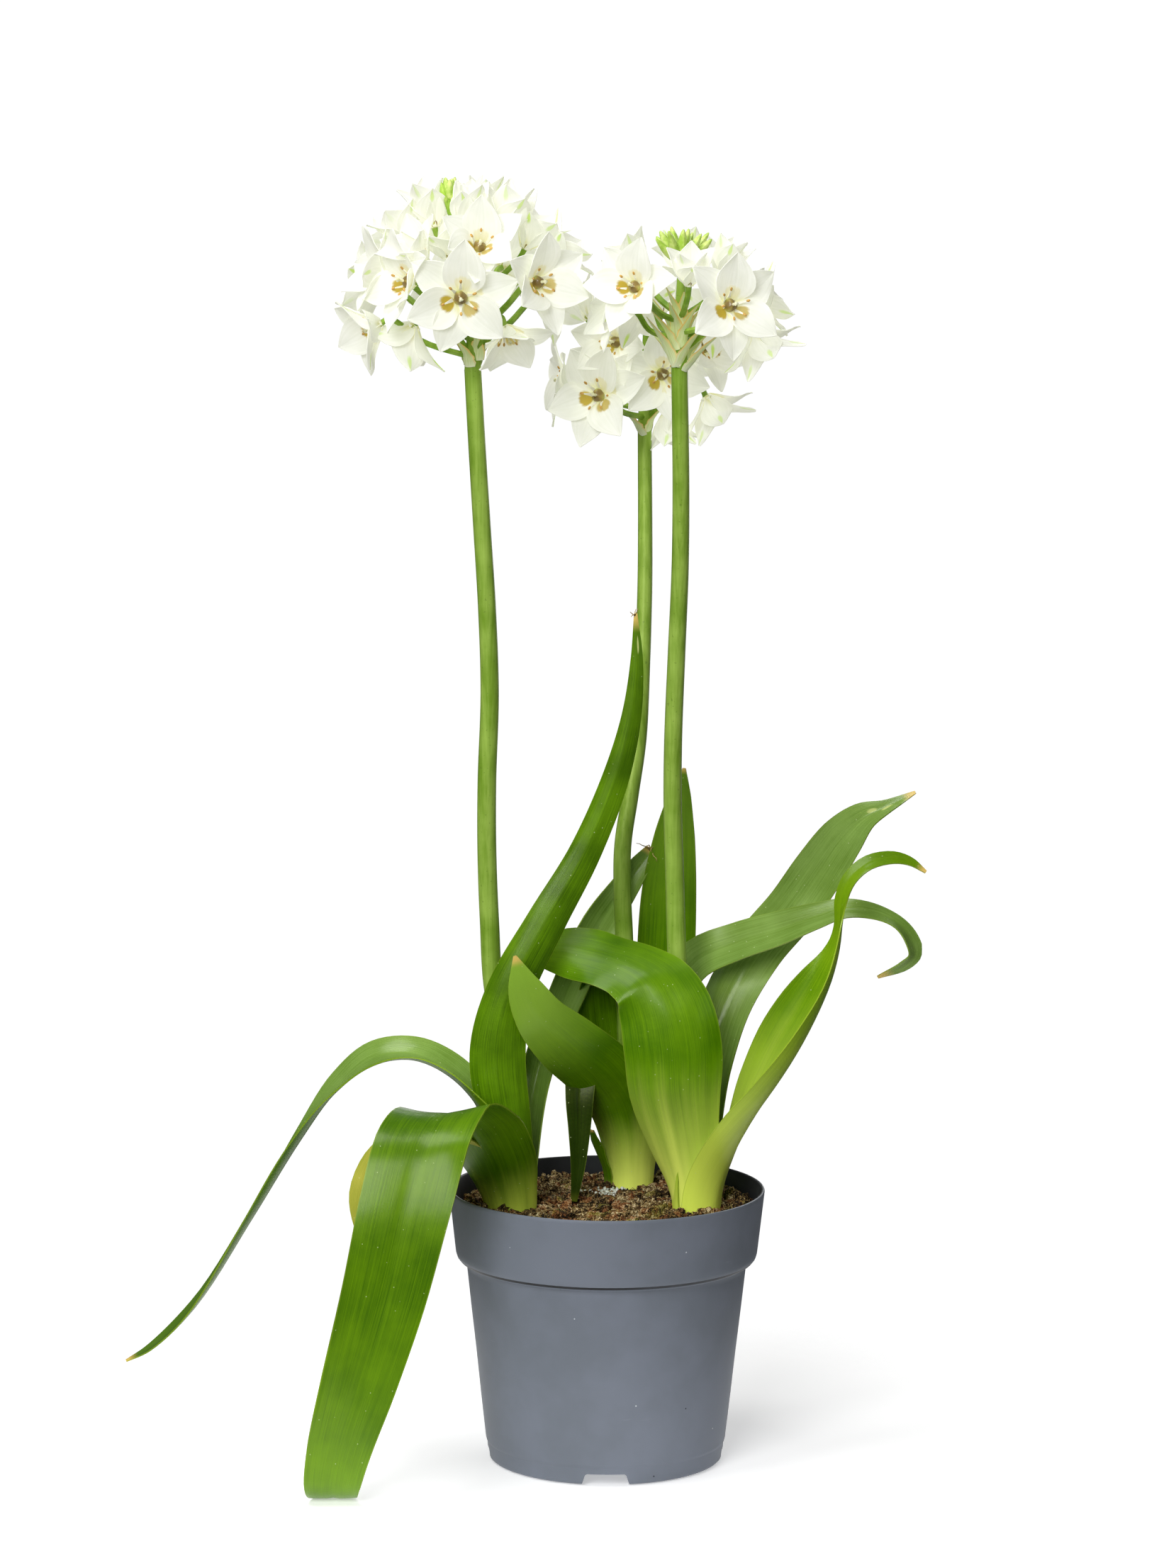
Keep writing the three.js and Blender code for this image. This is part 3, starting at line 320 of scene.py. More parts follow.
LEAVES = {
    "left_tall_leaf": [foot("left", -75, 5.7, 78),
        (-34.5, -11.5, 108, 17, 62, -1, 0, 0), (-38.5, -13, 132, 20.5, 40, -1, 0, 0),
        (-41.5, -13, 157, 22, 30, -1, 0, 0), (-37.5, -12, 180, 18.5, 30, -1, 0, 0.4),
        (-24, -10, 207, 15.5, 30, -1, 0, 0.4), (-9, -8, 234, 12.5, 30, -1, 0, 0.4),
        (2, -7, 261, 10.5, 28, -1, 0, 0.3), (8, -6, 285, 7.6, 24, -1, 0, 0.2),
        (10, -5, 307, 4.6, 16, -1, 0, 0), (9.5, -4, 324, 1.2, 5, -1, 0, 0)],
    "left_torn_leaf": [foot("left", 75, 5.7, 70),
        (-31, 3, 110, 13.5, 66, 0.9, -0.3, 0), (-29, 9, 128, 13.5, 58, 0.9, -0.4, -0.2),
        (-26, 14.5, 147, 13.5, 50, 0.85, -0.3, -0.4), (-20.5, 20, 163, 14, 45, 0.85, -0.2, -0.5),
        (-14, 28, 178, 15, 40, 0.85, -0.1, -0.5), (-4.5, 36.5, 197.5, 15, 38, 0.85, 0, -0.5),
        (5, 44.5, 211, 12, 34, 0.85, 0, -0.5), (12, 47, 221, 8.5, 26, 0.8, 0, -0.6),
        (16.5, 48, 227.5, 4, 10, 0.8, 0, -0.6)],
    "left_arching_leaf": [foot("left", -140, 7, 95),
        (-41, -10.8, 106, 24, 84, -0.64, 0.75, 0), (-43.5, -12.5, 123, 24, 70, -0.4, 0.9, 0.1),
        (-49, -13.5, 139, 22, 58, -0.1, 0.95, 0.3), (-59, -12, 150.5, 19, 50, 0, 0.95, 0.3),
        (-73, -9, 157, 17, 46, 0, 0.9, 0.4), (-88, -6, 155, 16, 42, 0, 0.85, 0.5),
        (-102, -3, 143, 15, 40, 0.2, 0.8, 0.55), (-117, -1, 122, 14, 38, 0.3, 0.8, 0.5),
        (-135, 0, 92.5, 12.5, 36, 0.3, 0.8, 0.5), (-157, 0, 57.5, 9, 32, 0.3, 0.8, 0.5),
        (-173, 0, 41.5, 5, 24, 0.2, 0.8, 0.5), (-183, 0, 36, 1.2, 5, 0.2, 0.8, 0.5)],
    "left_broad_leaf": [foot("left", -100, 8.3, 84),
        (-38.5, -15.8, 104, 27, 62, -0.98, 0.17, 0), (-42, -21, 118, 32, 38, -0.98, 0.17, 0),
        (-50, -31, 134, 36, 20, -0.98, 0.1, 0), (-60, -46, 142, 35.5, 8, -0.98, 0, -0.12),
        (-67.5, -61, 135, 35, 6, -0.98, 0, -0.12), (-74, -71, 113, 34, 8, -0.98, 0, 0),
        (-82, -76, 79, 31.5, 10, -0.98, 0, 0.1), (-91, -78, 47, 28, 12, -0.98, 0, 0.1),
        (-98, -77, 23, 24, 12, -0.98, 0, 0.1), (-101, -74, 8, 21, 10, -0.98, 0, 0),
        (-101, -67, 1.5, 18, 6, -0.98, 0, 0), (-100, -58, 1, 12, 4, -0.98, 0, 0),
        (-99, -49, 1, 1.5, 2, -0.98, 0, 0)],
    "left_yellow_leaf": [foot("left", -172, 9.6, 62),
        (-46, -7, 104, 23, 52, -0.17, 0.98, 0), (-50, -10, 116, 26, 38, -0.3, 0.9, 0),
        (-58, -16, 125, 28, 25, -0.5, 0.85, 0), (-70, -25, 129, 29, 15, -0.55, 0.8, 0),
        (-81, -33, 123, 27, 12, -0.6, 0.8, 0), (-88, -38, 110, 22, 12, -0.6, 0.8, 0),
        (-90, -41, 98, 13, 8, -0.6, 0.8, 0), (-90, -42, 89, 1.5, 3, -0.6, 0.8, 0)],
    "middle_curling_leaf": [foot("middle", 0, 5.6, 62),
        (15, 33, 112, 13, 52, 0, -1, 0), (17, 32.5, 130, 14, 40, 0.2, -1, 0),
        (20.5, 32, 150, 15, 30, 0.4, -0.9, -0.3), (25, 31, 170, 15.5, 24, 0.6, -0.6, -0.6),
        (33.5, 28, 187, 16, 20, 0.4, -0.4, -0.85), (49, 24, 195, 15.5, 18, 0, -0.4, -0.95),
        (65, 19, 201, 14, 18, 0, -0.4, -0.95), (79, 15, 206.5, 11, 20, 0, -0.5, -0.9),
        (90, 12.5, 210, 8.5, 20, 0, -0.6, -0.8), (101, 11, 209, 7.5, 20, -0.1, -0.7, -0.7),
        (109.5, 11, 205, 7, 20, -0.5, -0.7, -0.4), (114.5, 12, 199, 7, 20, -0.7, -0.6, -0.2),
        (116.5, 14, 192.5, 6.5, 18, -0.8, -0.6, 0), (112.5, 16.5, 187.5, 5, 14, -0.7, -0.5, 0.5),
        (103, 20, 182.5, 1.2, 5, -0.5, -0.4, 0.7)],
    "middle_upright_leaf": [foot("middle", 48, 7, 48),
        (15, 41, 112, 14, 42, 0.8, -0.5, 0), (18, 44, 134, 17, 34, 1, -0.2, 0),
        (21, 46, 160, 21, 28, 1, 0, 0), (22.5, 47, 188, 23, 26, 1, 0, 0),
        (23.5, 47, 212, 21.5, 26, 1, 0, 0), (25.5, 47, 233, 16, 24, 1, 0, 0),
        (27.5, 47, 249, 8.5, 16, 1, 0, 0), (29, 47, 259, 1.2, 4, 1, 0, 0)],
    "middle_inner_leaf": [foot("middle", 150, 7, 48),
        (3.5, 38.5, 110, 12, 42, 0.7, 0.5, 0), (1.5, 37, 129, 13.5, 34, 0.9, 0.3, 0),
        (-1.5, 34.5, 149, 15, 28, 1, 0.2, 0), (-4, 31.5, 166, 15.5, 24, 1, 0.2, 0),
        (-4.5, 28.5, 178, 13, 20, 1, 0.2, 0), (-2.5, 26.5, 188, 1.5, 5, 1, 0.2, 0)],
    "middle_hanging_leaf": [foot("middle", 192, 5.6, 58),
        (2.5, 31, 108, 10.5, 48, -0.3, 0.95, 0), (0, 28.5, 125, 10, 36, -0.6, 0.8, 0),
        (-3, 23.5, 140, 10.5, 26, -0.8, 0.6, 0), (-7, 16, 149, 11.5, 18, -0.95, 0.3, 0),
        (-9.5, 9, 149, 12, 14, -1, 0, 0), (-10.5, 5.5, 139, 11, 14, -1, 0, 0),
        (-10.5, 4, 126, 8.5, 14, -1, 0, 0), (-11, 3, 112, 5.5, 12, -1, 0, 0),
        (-12.5, 2, 98.5, 2.4, 6, -1, 0, 0)],
    "middle_sheath_leaf": [foot("middle", 196, 9.3, 30),
        (-0.5, 31, 104, 9.5, 28, -0.2, 1, 0), (-3.5, 29, 113, 8, 24, -0.5, 0.8, 0.2),
        (-6, 27.5, 121, 3, 12, -0.6, 0.7, 0.3)],
    "middle_front_leaf": [foot("middle", -90, 8.3, 76),
        (9, 25.5, 106, 23, 62, -1, 0, 0), (8.5, 21.5, 121, 27, 42, -1, 0, 0),
        (5.5, 14, 134, 28.5, 30, -0.95, 0, -0.2), (-2, 3.5, 147, 28, 24, -0.8, 0, -0.5),
        (-14, -8, 159.5, 25, 20, -0.75, 0, -0.6), (-24.5, -16, 171.5, 20, 18, -0.8, 0, -0.6),
        (-31, -20, 184, 13.5, 14, -0.85, 0, -0.4), (-35, -21.5, 197, 1.2, 4, -0.9, 0, -0.3)],
    "right_broad_leaf": [foot("right", 62, 5.8, 72),
        (38, 5, 108, 15, 60, 0.8, -0.6, 0), (38.5, 13, 127, 16.5, 46, 0.8, -0.5, -0.2),
        (40, 22, 148, 18.5, 34, 0.8, -0.4, -0.4), (46, 31, 170, 20, 26, 0.8, -0.3, -0.5),
        (58, 37, 190.5, 20.5, 22, 0.75, -0.2, -0.6), (71, 38.5, 206, 20.5, 20, 0.75, -0.2, -0.6),
        (81, 37, 221, 20, 20, 0.75, -0.2, -0.6), (89.5, 34.5, 234, 17.5, 20, 0.75, -0.2, -0.6),
        (97, 32.5, 242, 12.5, 22, 0.6, -0.3, -0.7), (106, 31, 246.5, 6, 24, 0.3, -0.4, -0.85),
        (117, 30, 252.5, 1.2, 5, 0.3, -0.4, -0.85)],
    "right_folded_leaf": [foot("right", -108, 7.1, 82),
        (31.5, -11.8, 107, 23, 68, -1, 0.1, 0), (29, -12.8, 123, 29, 46, -1, 0, 0),
        (25.5, -13.5, 143, 36, 30, -1, 0, 0), (24.5, -14, 160, 38, 24, -1, 0, 0),
        (21.5, -12.5, 175, 36, 20, -1, 0, -0.15), (16, -9, 185.5, 31, 18, -0.9, -0.25, -0.35),
        (8.5, -4, 190, 27, 16, -0.55, -0.55, -0.65), (0, 1, 192, 25, 16, -0.2, -0.7, -0.7),
        (-9, 6, 193.5, 24, 16, 0, -0.7, -0.7), (-18, 10.5, 194, 20, 14, 0.1, -0.7, -0.7),
        (-25.5, 14, 192, 13, 12, 0.2, -0.7, -0.7), (-31, 17, 187, 1.5, 5, 0.3, -0.7, -0.6)],
    "right_sheath_leaf": [foot("right", 176, 8.4, 38),
        (24.8, -6.5, 108, 11, 34, -0.1, 1, 0), (22.5, -8, 120, 10, 30, -0.3, 0.95, 0),
        (19.5, -9, 132, 7.5, 24, -0.4, 0.9, 0), (16.5, -10, 142.5, 1.5, 8, -0.4, 0.9, 0)],
    "right_twisted_leaf": [foot("right", -48, 8.4, 84),
        (41, -11.5, 105, 26, 78, -0.7, -0.7, 0), (46, -13, 118, 31, 74, -0.5, -0.85, 0),
        (52, -14, 130, 35, 72, -0.2, -0.95, 0), (59.5, -14, 143, 37, 72, 0.1, -0.97, -0.1),
        (68.5, -14, 159, 36, 72, 0.3, -0.94, -0.15), (76.5, -13.5, 174.5, 31, 70, 0.35, -0.92, -0.15),
        (82.5, -12.5, 188, 23, 66, 0.35, -0.92, -0.15), (86, -11, 199, 13, 54, 0.3, -0.95, -0.1),
        (87, -10, 208, 7, 34, 0.4, -0.9, 0), (87.5, -10, 217, 6, 22, 0.7, -0.6, -0.3),
        (90.5, -10, 225, 6, 18, 0.6, -0.5, -0.6), (97, -10, 231, 6, 16, 0.3, -0.5, -0.8),
        (106, -9, 233, 5.2, 14, 0, -0.5, -0.85), (113, -8, 231.5, 3.6, 10, -0.2, -0.5, -0.8),
        (119, -8, 227.5, 1.2, 5, -0.3, -0.5, -0.8)],
}
LEAF_LENGTHS = {name: length_of([spot[:3] for spot in stations]) for name, stations in LEAVES.items()}
print("leaves", len(LEAVES), "the longest", round(max(LEAF_LENGTHS.values())), "mm")

# %% [markdown]
# ## Leaf colours
# Each leaf has its own greens: the light and the dark of its blade, and the pale one of its foot,
# which grew in the dark. The leaves that stand in the light get greens painted lighter, the ones
# behind get greens painted darker as shade, the darkest for the hanging leaf, a few are greyish,
# and one is turning yellow. A leaf's row below names its slot, the greens of its inner and outer
# face, the share of its length that is pale, and its crown shading: above zero its upper half gets
# a painted sheen, below zero painted shade. A scar is a pale mark at a share of the length and the
# width.

# %% Leaf colours
GREENS = {
    # painted light: greens painted lighter for leaves that stand in the light
    "painted_lit_fresh": ((150, 184, 34), (106, 150, 4), (226, 246, 96)),
    "rich": ((108, 154, 6), (60, 106, 0), (242, 255, 116)),
    "broad": ((96, 138, 4), (48, 90, 0), (200, 220, 80)),
    # painted light: greens painted lighter for a leaf that stands in the light
    "lit": ((130, 170, 16), (84, 130, 2), (218, 234, 100)),
    # painted shade: greens painted darker for leaves that stand behind
    "dark": ((106, 152, 10), (46, 82, 1), (160, 194, 44)),
    "grey": ((138, 172, 84), (96, 130, 40), (166, 194, 74)),
    # painted shade: the darkest greens, for the hanging leaf in shade
    "painted_shade_black": ((34, 58, 1), (12, 28, 0), (60, 92, 4)),
    "yellow": ((190, 184, 78), (140, 148, 44), (170, 172, 60)),
}
LEAF_LOOKS = {
    "left_tall_leaf": ("dark_leaf", "dark", "dark", 0.12, 0),
    "left_torn_leaf": ("dark_leaf", "grey", "grey", 0.1, 0),
    "left_arching_leaf": ("leaf", "grey", "rich", 0.15, -0.8),
    "left_broad_leaf": ("leaf", "broad", "broad", 0.14, 0.25),
    "left_yellow_leaf": ("yellow_leaf", "yellow", "yellow", 0.2, 0),
    "middle_curling_leaf": ("leaf", "grey", "grey", 0.2, 0),
    "middle_upright_leaf": ("dark_leaf", "rich", "rich", 0.15, 0.3),
    "middle_inner_leaf": ("dark_leaf", "dark", "dark", 0.1, 0),
    "middle_hanging_leaf": ("dark_leaf", "painted_shade_black", "painted_shade_black", 0.1, 0),
    "middle_sheath_leaf": ("leaf", "rich", "rich", 0.3, 0),
    "middle_front_leaf": ("leaf", "rich", "rich", 0.36, 0.7),
    "right_broad_leaf": ("leaf", "grey", "broad", 0.1, 0),
    "right_folded_leaf": ("leaf", "rich", "rich", 0.33, 0),
    "right_sheath_leaf": ("leaf", "painted_lit_fresh", "painted_lit_fresh", 0.5, 0),
    "right_twisted_leaf": ("leaf", "lit", "painted_lit_fresh", 0.45, -0.3),
}
SCARS = {"right_broad_leaf": [(0.86, 0.4), (0.91, 0.56)], "left_tall_leaf": [(0.93, 0.4)]}
MARGIN, SCAR, DUST = paint(140, 164, 48), paint(206, 216, 132), paint(206, 220, 160)
# The second tip colour is painted shade, for the tip of the hanging leaf.
DRY_TIP, PAINTED_SHADE_TIP = paint(228, 194, 104), paint(70, 80, 16)
# The two crown colours are painted light and shade: a painted sheen and a painted shade.
PAINTED_SHEEN_CROWN, PAINTED_SHADE_CROWN = paint(152, 192, 66), paint(60, 98, 4)
print("greens", len(GREENS), "leaf looks", len(LEAF_LOOKS))

# %% [markdown]
# ## A leaf finish
# The leaves are waxy straps with fine parallel veins. The pattern has to run along the blade, so
# it reads the blade's own map: across and along. Fine threads, broad bands and soft blotches
# move the colour between the light and the dark green. The foot fades to its pale green, and the
# tip and the margins dry out. The same threads raise a very low bump. A greyish leaf has more wax
# on it, and on a grey or dark leaf the midrib shows as a darker line.

# %% The leaf finish
def leaf_finish(name, tone, gloss, foot_share, crown_shading, scars, length, width, seed):
    light, dark, pale = (paint(*green) for green in GREENS[tone])
    finish = Finish(name, Specular_IOR_Level=0.3, Specular_Tint=(0.7, 0.86, 0.12, 1),
                    Coat_Weight=0.42 if tone == "grey" else 0.25, Coat_Roughness=0.23)
    across, along = finish.across_and_along()
    body = finish.body()
    side, reach = across * width, along * length
    thread = finish.noise(finish.vector(side * 2.9, reach * 0.04, seed), 1.0, 3.0, 0.6)
    band = finish.noise(finish.vector(side * 0.2, reach * 0.014, seed + 7), 1.0, 2.0)
    blotch = finish.noise(body, 45.0, 3.0)
    blade = finish.mix(finish.fade(thread * 0.6 + band * 0.05 + blotch * 0.65, 0.38, 0.94), dark, light)
    # The crown paints the upper half: a painted sheen when it is above zero, painted shade below zero.
    painted_crown_share = finish.fade(along, 0.5, 0.82) * abs(crown_shading)
    blade = finish.mix(painted_crown_share, blade, PAINTED_SHADE_CROWN if crown_shading < 0 else PAINTED_SHEEN_CROWN)
    blade = finish.mix(finish.fade(along + (band - 0.5) * 0.12, foot_share, 0.0), blade, pale)
    tip = finish.fade(along + (blotch - 0.5) * 0.05, 0.955, 0.995)
    blade = finish.mix(tip, blade, PAINTED_SHADE_TIP if tone == "painted_shade_black" else DRY_TIP)
    aside = abs(across - 0.5)
    midrib = finish.fade(aside, 0.022, 0.0) * (0.25 if tone in ("grey", "dark") else 0.0)
    blade = finish.mix(midrib, blade, dark)
    for up, over in scars:
        ring = ((along - up) / 0.02) ** 2.0 + ((across - over) / 0.09) ** 2.0 + (thread - 0.5) * 2.0
        blade = finish.mix(finish.fade(ring, 1.2, 0.3) * 0.8, blade, SCAR)
    blade = finish.mix(finish.fade(aside, 0.482, 0.5) * 0.5, blade, MARGIN)
    near, chance = finish.specks(body, 330.0)
    speck = (near < 0.07) * (chance > 0.35)
    blade = finish.mix(speck * 0.5, blade, DUST)
    ripple = finish.noise(finish.vector(side * 0.5, reach * 0.9, seed), 1.0, 2.0)
    height = thread * 0.8 + ripple * 0.5 + speck * 0.4
    return finish.set(Base_Color=blade, Roughness=gloss + ripple * 0.14 + blotch * 0.1,
                      Normal=finish.bump(height, 0.3, 0.0004))


print("leaf finish ready")

# %% [markdown]
# ## Making a leaf
# A strap leaf is a sheet, so it starts as a grid. Each row of the grid is set on the bent section
# of the nearest station, with a low midrib groove, a slow swell that catches the light, and a
# wave that grows towards the margins. Solidify then gives it a thickness that thins out to the
# margins, with a finish for each face.

# %% Shape a blade
GROOVE_WIDTH = 1.3
SWELL, SWELL_ROWS = 0.013, 5.5
THINNER_MARGIN = 0.55


def leaf_sections(stations, rows):
    midrib = route([station[:3] for station in stations])
    sizes = route([(width, curl, 0) for x, y, z, width, curl, *side in stations], even=True)
    sides = route([station[5:8] for station in stations], even=True)
    found = []
    for row in range(rows + 1):
        t = row / rows
        tangent = (midrib(t + TINY) - midrib(t - TINY)).normalized()
        side = sides(t)
        side = (side - tangent * side.dot(tangent)).normalized()
        width, curl, unused = sizes(t)
        bend = math.radians(max(curl, 1))
        found.append((midrib(t), side, side.cross(tangent), max(width, 0.5), bend))
    return found


def shaped_blade(name, stations, columns, rows, wave, groove, seed):
    bpy.ops.mesh.primitive_grid_add(x_subdivisions=columns, y_subdivisions=rows, size=2)
    blade = bpy.context.object
    blade.name = name
    sections = leaf_sections(stations, rows)
    luck = random.Random(seed)
    phase, turns = luck.uniform(0, 6.28), luck.uniform(2.2, 3.6)
    thickness = blade.vertex_groups.new(name="body")
    for vertex in blade.data.vertices:
        share, row = vertex.co.x, round((vertex.co.y + 1) / 2 * rows)
        middle, side, face, width, bend = sections[row]
        radius, angle, rim = width / (2 * bend), share * bend, abs(share) ** 3
        lift = wave * width / 20 * rim * math.sin(turns * 6.28 * row / rows + phase + share)
        lift -= groove * math.exp(-((share * width / 2) / GROOVE_WIDTH) ** 2) * min(1, width / 10)
        swell = SWELL * width * min(1, 4 * row / rows)
        lift += swell * math.sin(row / SWELL_ROWS + phase + share * 0.9)
        across, rise = radius * math.sin(angle), radius * (1 - math.cos(angle)) + lift
        thickness.add([vertex.index], 1 - THINNER_MARGIN * rim, "REPLACE")
        vertex.co = place(*(middle + side * across + face * rise))
    return blade


print("a margin keeps", round(1 - THINNER_MARGIN, 2), "of the thickness")

# %% Make the leaves
ROW_LENGTH = 3.2
FACE_GLOSS = {"inner": 0.23, "outer": 0.27}


def make_leaf(name, order):
    stations, length = LEAVES[name], LEAF_LENGTHS[name]
    slot, inner, outer, foot_share, crown_shading = LEAF_LOOKS[name]
    widest = max(station[3] for station in stations)
    leaf = shaped_blade(f"{name}_blade", stations, columns=14, rows=round(length / ROW_LENGTH),
                        wave=0.7, groove=0.3, seed=order)
    skins = []
    for face, tone in (("inner", inner), ("outer", outer)):
        skins.append(leaf_finish(f"{name}_{face}", tone, FACE_GLOSS[face], foot_share, crown_shading,
                                 SCARS.get(name, []), length, widest, order * 3.1))
    dress(leaf, *skins)
    modify(leaf, "SOLIDIFY", thickness=0.0009, offset=0, vertex_group="body",
           thickness_vertex_group=0.25, material_offset=1, material_offset_rim=1)
    settle(leaf, slot, name)


for order, name in enumerate(LEAVES):
    make_leaf(name, order)

# %% [markdown]
# ## Stalks
# A stalk is a smooth round rod, so a path with a round bevel is the natural way. Its points come
# from the same route as the solid, and it is then made a mesh. Flower stalks and the thin parts
# of a flower are made by the same helper.

# %% Rods along routes
STALK_FOOT = 98.3
STALKS = {
    "left": [(-35, -5, STALK_FOOT), (-35, -5, 104), (-33, -2, 125), (-36, 2, 152), (-43, 5, 178),
             (-45, 5, 206), (-46, 3, 233), (-46, 0, 260), (-45, -3, 293), (-46, -6, 325),
             (-48, -8, 357), (-50, -10, 389), (-51.5, -10, 415)],
    "middle": [(9, 34, STALK_FOOT), (9, 34, 104), (8.5, 33, 120), (7.5, 32, 147), (6.3, 32, 192),
               (5.3, 33, 215), (5.5, 35, 231), (8.3, 38, 250), (11.3, 42, 271), (12.6, 46, 298),
               (13.4, 51, 328), (13.4, 54, 352), (13, 58, 388)],
    "right": [(34, -4, STALK_FOOT), (34, -4, 104), (30.5, 0.5, 130), (28, 5, 162), (26, 8, 194),
              (25, 9, 222), (24, 8, 251), (24, 6, 276), (25, 3, 309), (26, -1, 341),
              (26, -5, 373), (25, -8, 417)],
}
STALK_RADII = {"left": (4.1, 3.2), "middle": (3.9, 2.7), "right": (4.0, 3.1)}


def rods(name, lines, smoothness):
    bpy.ops.curve.primitive_nurbs_path_add()
    bundle = bpy.context.object
    bundle.name = name
    bundle.data.splines.clear()
    bundle.data.bevel_depth = 0.001
    bundle.data.bevel_resolution = smoothness
    bundle.data.use_fill_caps = True
    for points, radii in lines:
        strand = bundle.data.splines.new("POLY")
        strand.points.add(len(points) - 1)
        for dot, spot, radius in zip(strand.points, points, radii):
            dot.co = (*place(*spot), 1)
            dot.radius = radius
    pick(bundle)
    bpy.ops.object.convert(target="MESH")
    return bpy.context.object


print("stalks", len(STALKS))

# %% [markdown]
# A stalk's skin is a fine-grained green, lighter where its threads catch the light. Its threads
# run upwards, so the noise is squeezed sideways and stretched along the height.

# %% The stalk finish, and the stalks
def stalk_finish():
    finish = Finish("stalk_green", Specular_IOR_Level=0.45, Specular_Tint=(0.8, 0.9, 0.3, 1),
                    Coat_Weight=0.12, Coat_Roughness=0.35)
    body = finish.body()
    x, y, up = finish.split(body)
    thread = finish.noise(finish.vector(x * 900, y * 900, up * 14), 1.0, 3.0, 0.6)
    band = finish.noise(finish.vector(x * 160, y * 160, up * 7), 1.0, 2.0)
    blotch = finish.noise(body, 70.0, 3.0)
    tone = finish.fade(thread * 0.4 + band * 0.4 + blotch * 0.5, 0.42, 0.9)
    skin = finish.mix(tone, paint(108, 146, 32), paint(164, 196, 86))
    fleck = (finish.noise(body, 900.0, 1.0) > 0.72) * 0.35
    skin = finish.mix(fleck, skin, paint(70, 92, 30))
    height = thread * 0.6 + blotch * 0.5
    return finish.set(Base_Color=skin, Roughness=0.34 + blotch * 0.14,
                      Normal=finish.bump(height, 0.4, 0.0003))


STALK_STEPS = 90
stalk_green = stalk_finish()
for name, stations in STALKS.items():
    low, high = STALK_RADII[name]
    radii = walk(lambda t: low + (high - low) * t, STALK_STEPS)
    stem = rods(f"{name}_stalk_rod", [(walk(route(stations), STALK_STEPS), radii)], 6)
    settle(dress(stem, stalk_green), "stalk", f"{name}_stalk")

# %% [markdown]
# Two leaves end in dry, frayed tips. They are thin rods too, each of which starts inside the
# blade it belongs to and wanders off at random. A leaf's row says how many strands it has and
# about how long they are.

# %% Frayed tips
FRAYED = {"left_torn_leaf": (9, 5.0), "left_tall_leaf": (4, 2.2)}
STRAND_RADII = [0.32, 0.28, 0.24, 0.2, 0.17, 0.14, 0.1]


def strand(start, ahead, reach, luck):
    spot, heading, dots = start, ahead, [start]
    for step in STRAND_RADII[1:]:
        wander = Vector([luck.uniform(-0.7, 0.7) for axis in range(3)])
        heading = (heading + wander).normalized()
        spot = spot + heading * reach * luck.uniform(0.2, 0.32)
        dots.append(spot)
    return dots, STRAND_RADII


luck = random.Random(31)
frays = []
for name, (count, reach) in FRAYED.items():
    tip, before = (Vector(station[:3]) for station in (LEAVES[name][-1], LEAVES[name][-2]))
    ahead = (tip - before).normalized()
    frays += [strand(tip - ahead * 1.2, ahead, reach, luck) for number in range(count)]
dry = Finish("dry_tan")
fleck = dry.noise(dry.body(), 700.0, 3.0)
tan = dry.mix(dry.fade(fleck, 0.35, 0.65), paint(132, 100, 52), paint(206, 184, 120))
dry.set(Base_Color=tan, Roughness=0.7 + fleck * 0.2, Normal=dry.bump(fleck, 0.4, 0.0001))
settle(dress(rods("frayed_tips", frays, 1), dry.material), "yellow_leaf")

# %% [markdown]
# ## The pot
# The pot was moulded in one piece: a tapered body, a deep collar that stands out from it, and a
# foot ring with notches. It is round, so its profile is drawn once, by extruding one point from
# corner to corner, and spun round the axis. The notches and the drain holes are then cut out
# with a boolean.

# %% Spin the profile
POT_PROFILE = [
    (0, 4.2), (38, 4.2), (40.6, 4.2), (41.1, 3.8), (41.3, 0.5), (41.7, 0.05), (42.4, 0), (43.1, 0.05),
    (43.8, 0.35), (44.4, 0.9), (44.75, 1.8), (45.1, 6.6), (45.25, 7.1), (45.5, 7.4), (45.7, 8.2),
    (47.6, 25), (49.4, 42), (51.3, 58.5), (53.0, 74), (53.2, 75.7), (53.5, 76.3), (54.6, 76.8),
    (55.9, 77.5), (56.8, 78.6), (57.25, 80), (57.5, 82), (58.4, 90), (59.3, 98), (59.85, 103),
    (59.95, 103.9), (59.75, 104.4), (59.3, 104.5), (58.8, 104.3), (58.5, 103.6), (57.6, 95),
    (56.7, 86), (56.2, 80.2), (55.6, 79.0), (53.4, 78.1), (52.2, 77.5), (51.8, 76), (48.2, 42),
    (44.6, 9), (44.3, 6.6), (43.2, 5.6), (38, 5.6), (0, 5.6),
]


def extruded_line(name, corners):
    bpy.ops.mesh.primitive_plane_add(size=0.01, location=place(*corners[0]))
    line = bpy.context.object
    line.name = name
    bpy.ops.object.transform_apply(location=True)
    bpy.ops.object.mode_set(mode="EDIT")
    bpy.ops.mesh.select_all(action="SELECT")
    bpy.ops.mesh.merge(type="CENTER")
    for before, after in zip(corners, corners[1:]):
        step = metres(*(Vector(after) - Vector(before)))
        bpy.ops.mesh.extrude_region_move(TRANSFORM_OT_translate={"value": step})
    return line


pot = extruded_line("pot_shell", [(radius, 0, height) for radius, height in POT_PROFILE])
bpy.ops.mesh.select_all(action="SELECT")
bpy.ops.mesh.spin(steps=112, angle=math.tau, center=AXIS, axis=(0, 0, 1))
bpy.ops.mesh.select_all(action="SELECT")
bpy.ops.mesh.remove_doubles(threshold=0.00002)
bpy.ops.mesh.normals_make_consistent(inside=False)
bpy.ops.object.mode_set(mode="OBJECT")
print("pot shell faces", len(pot.data.polygons))

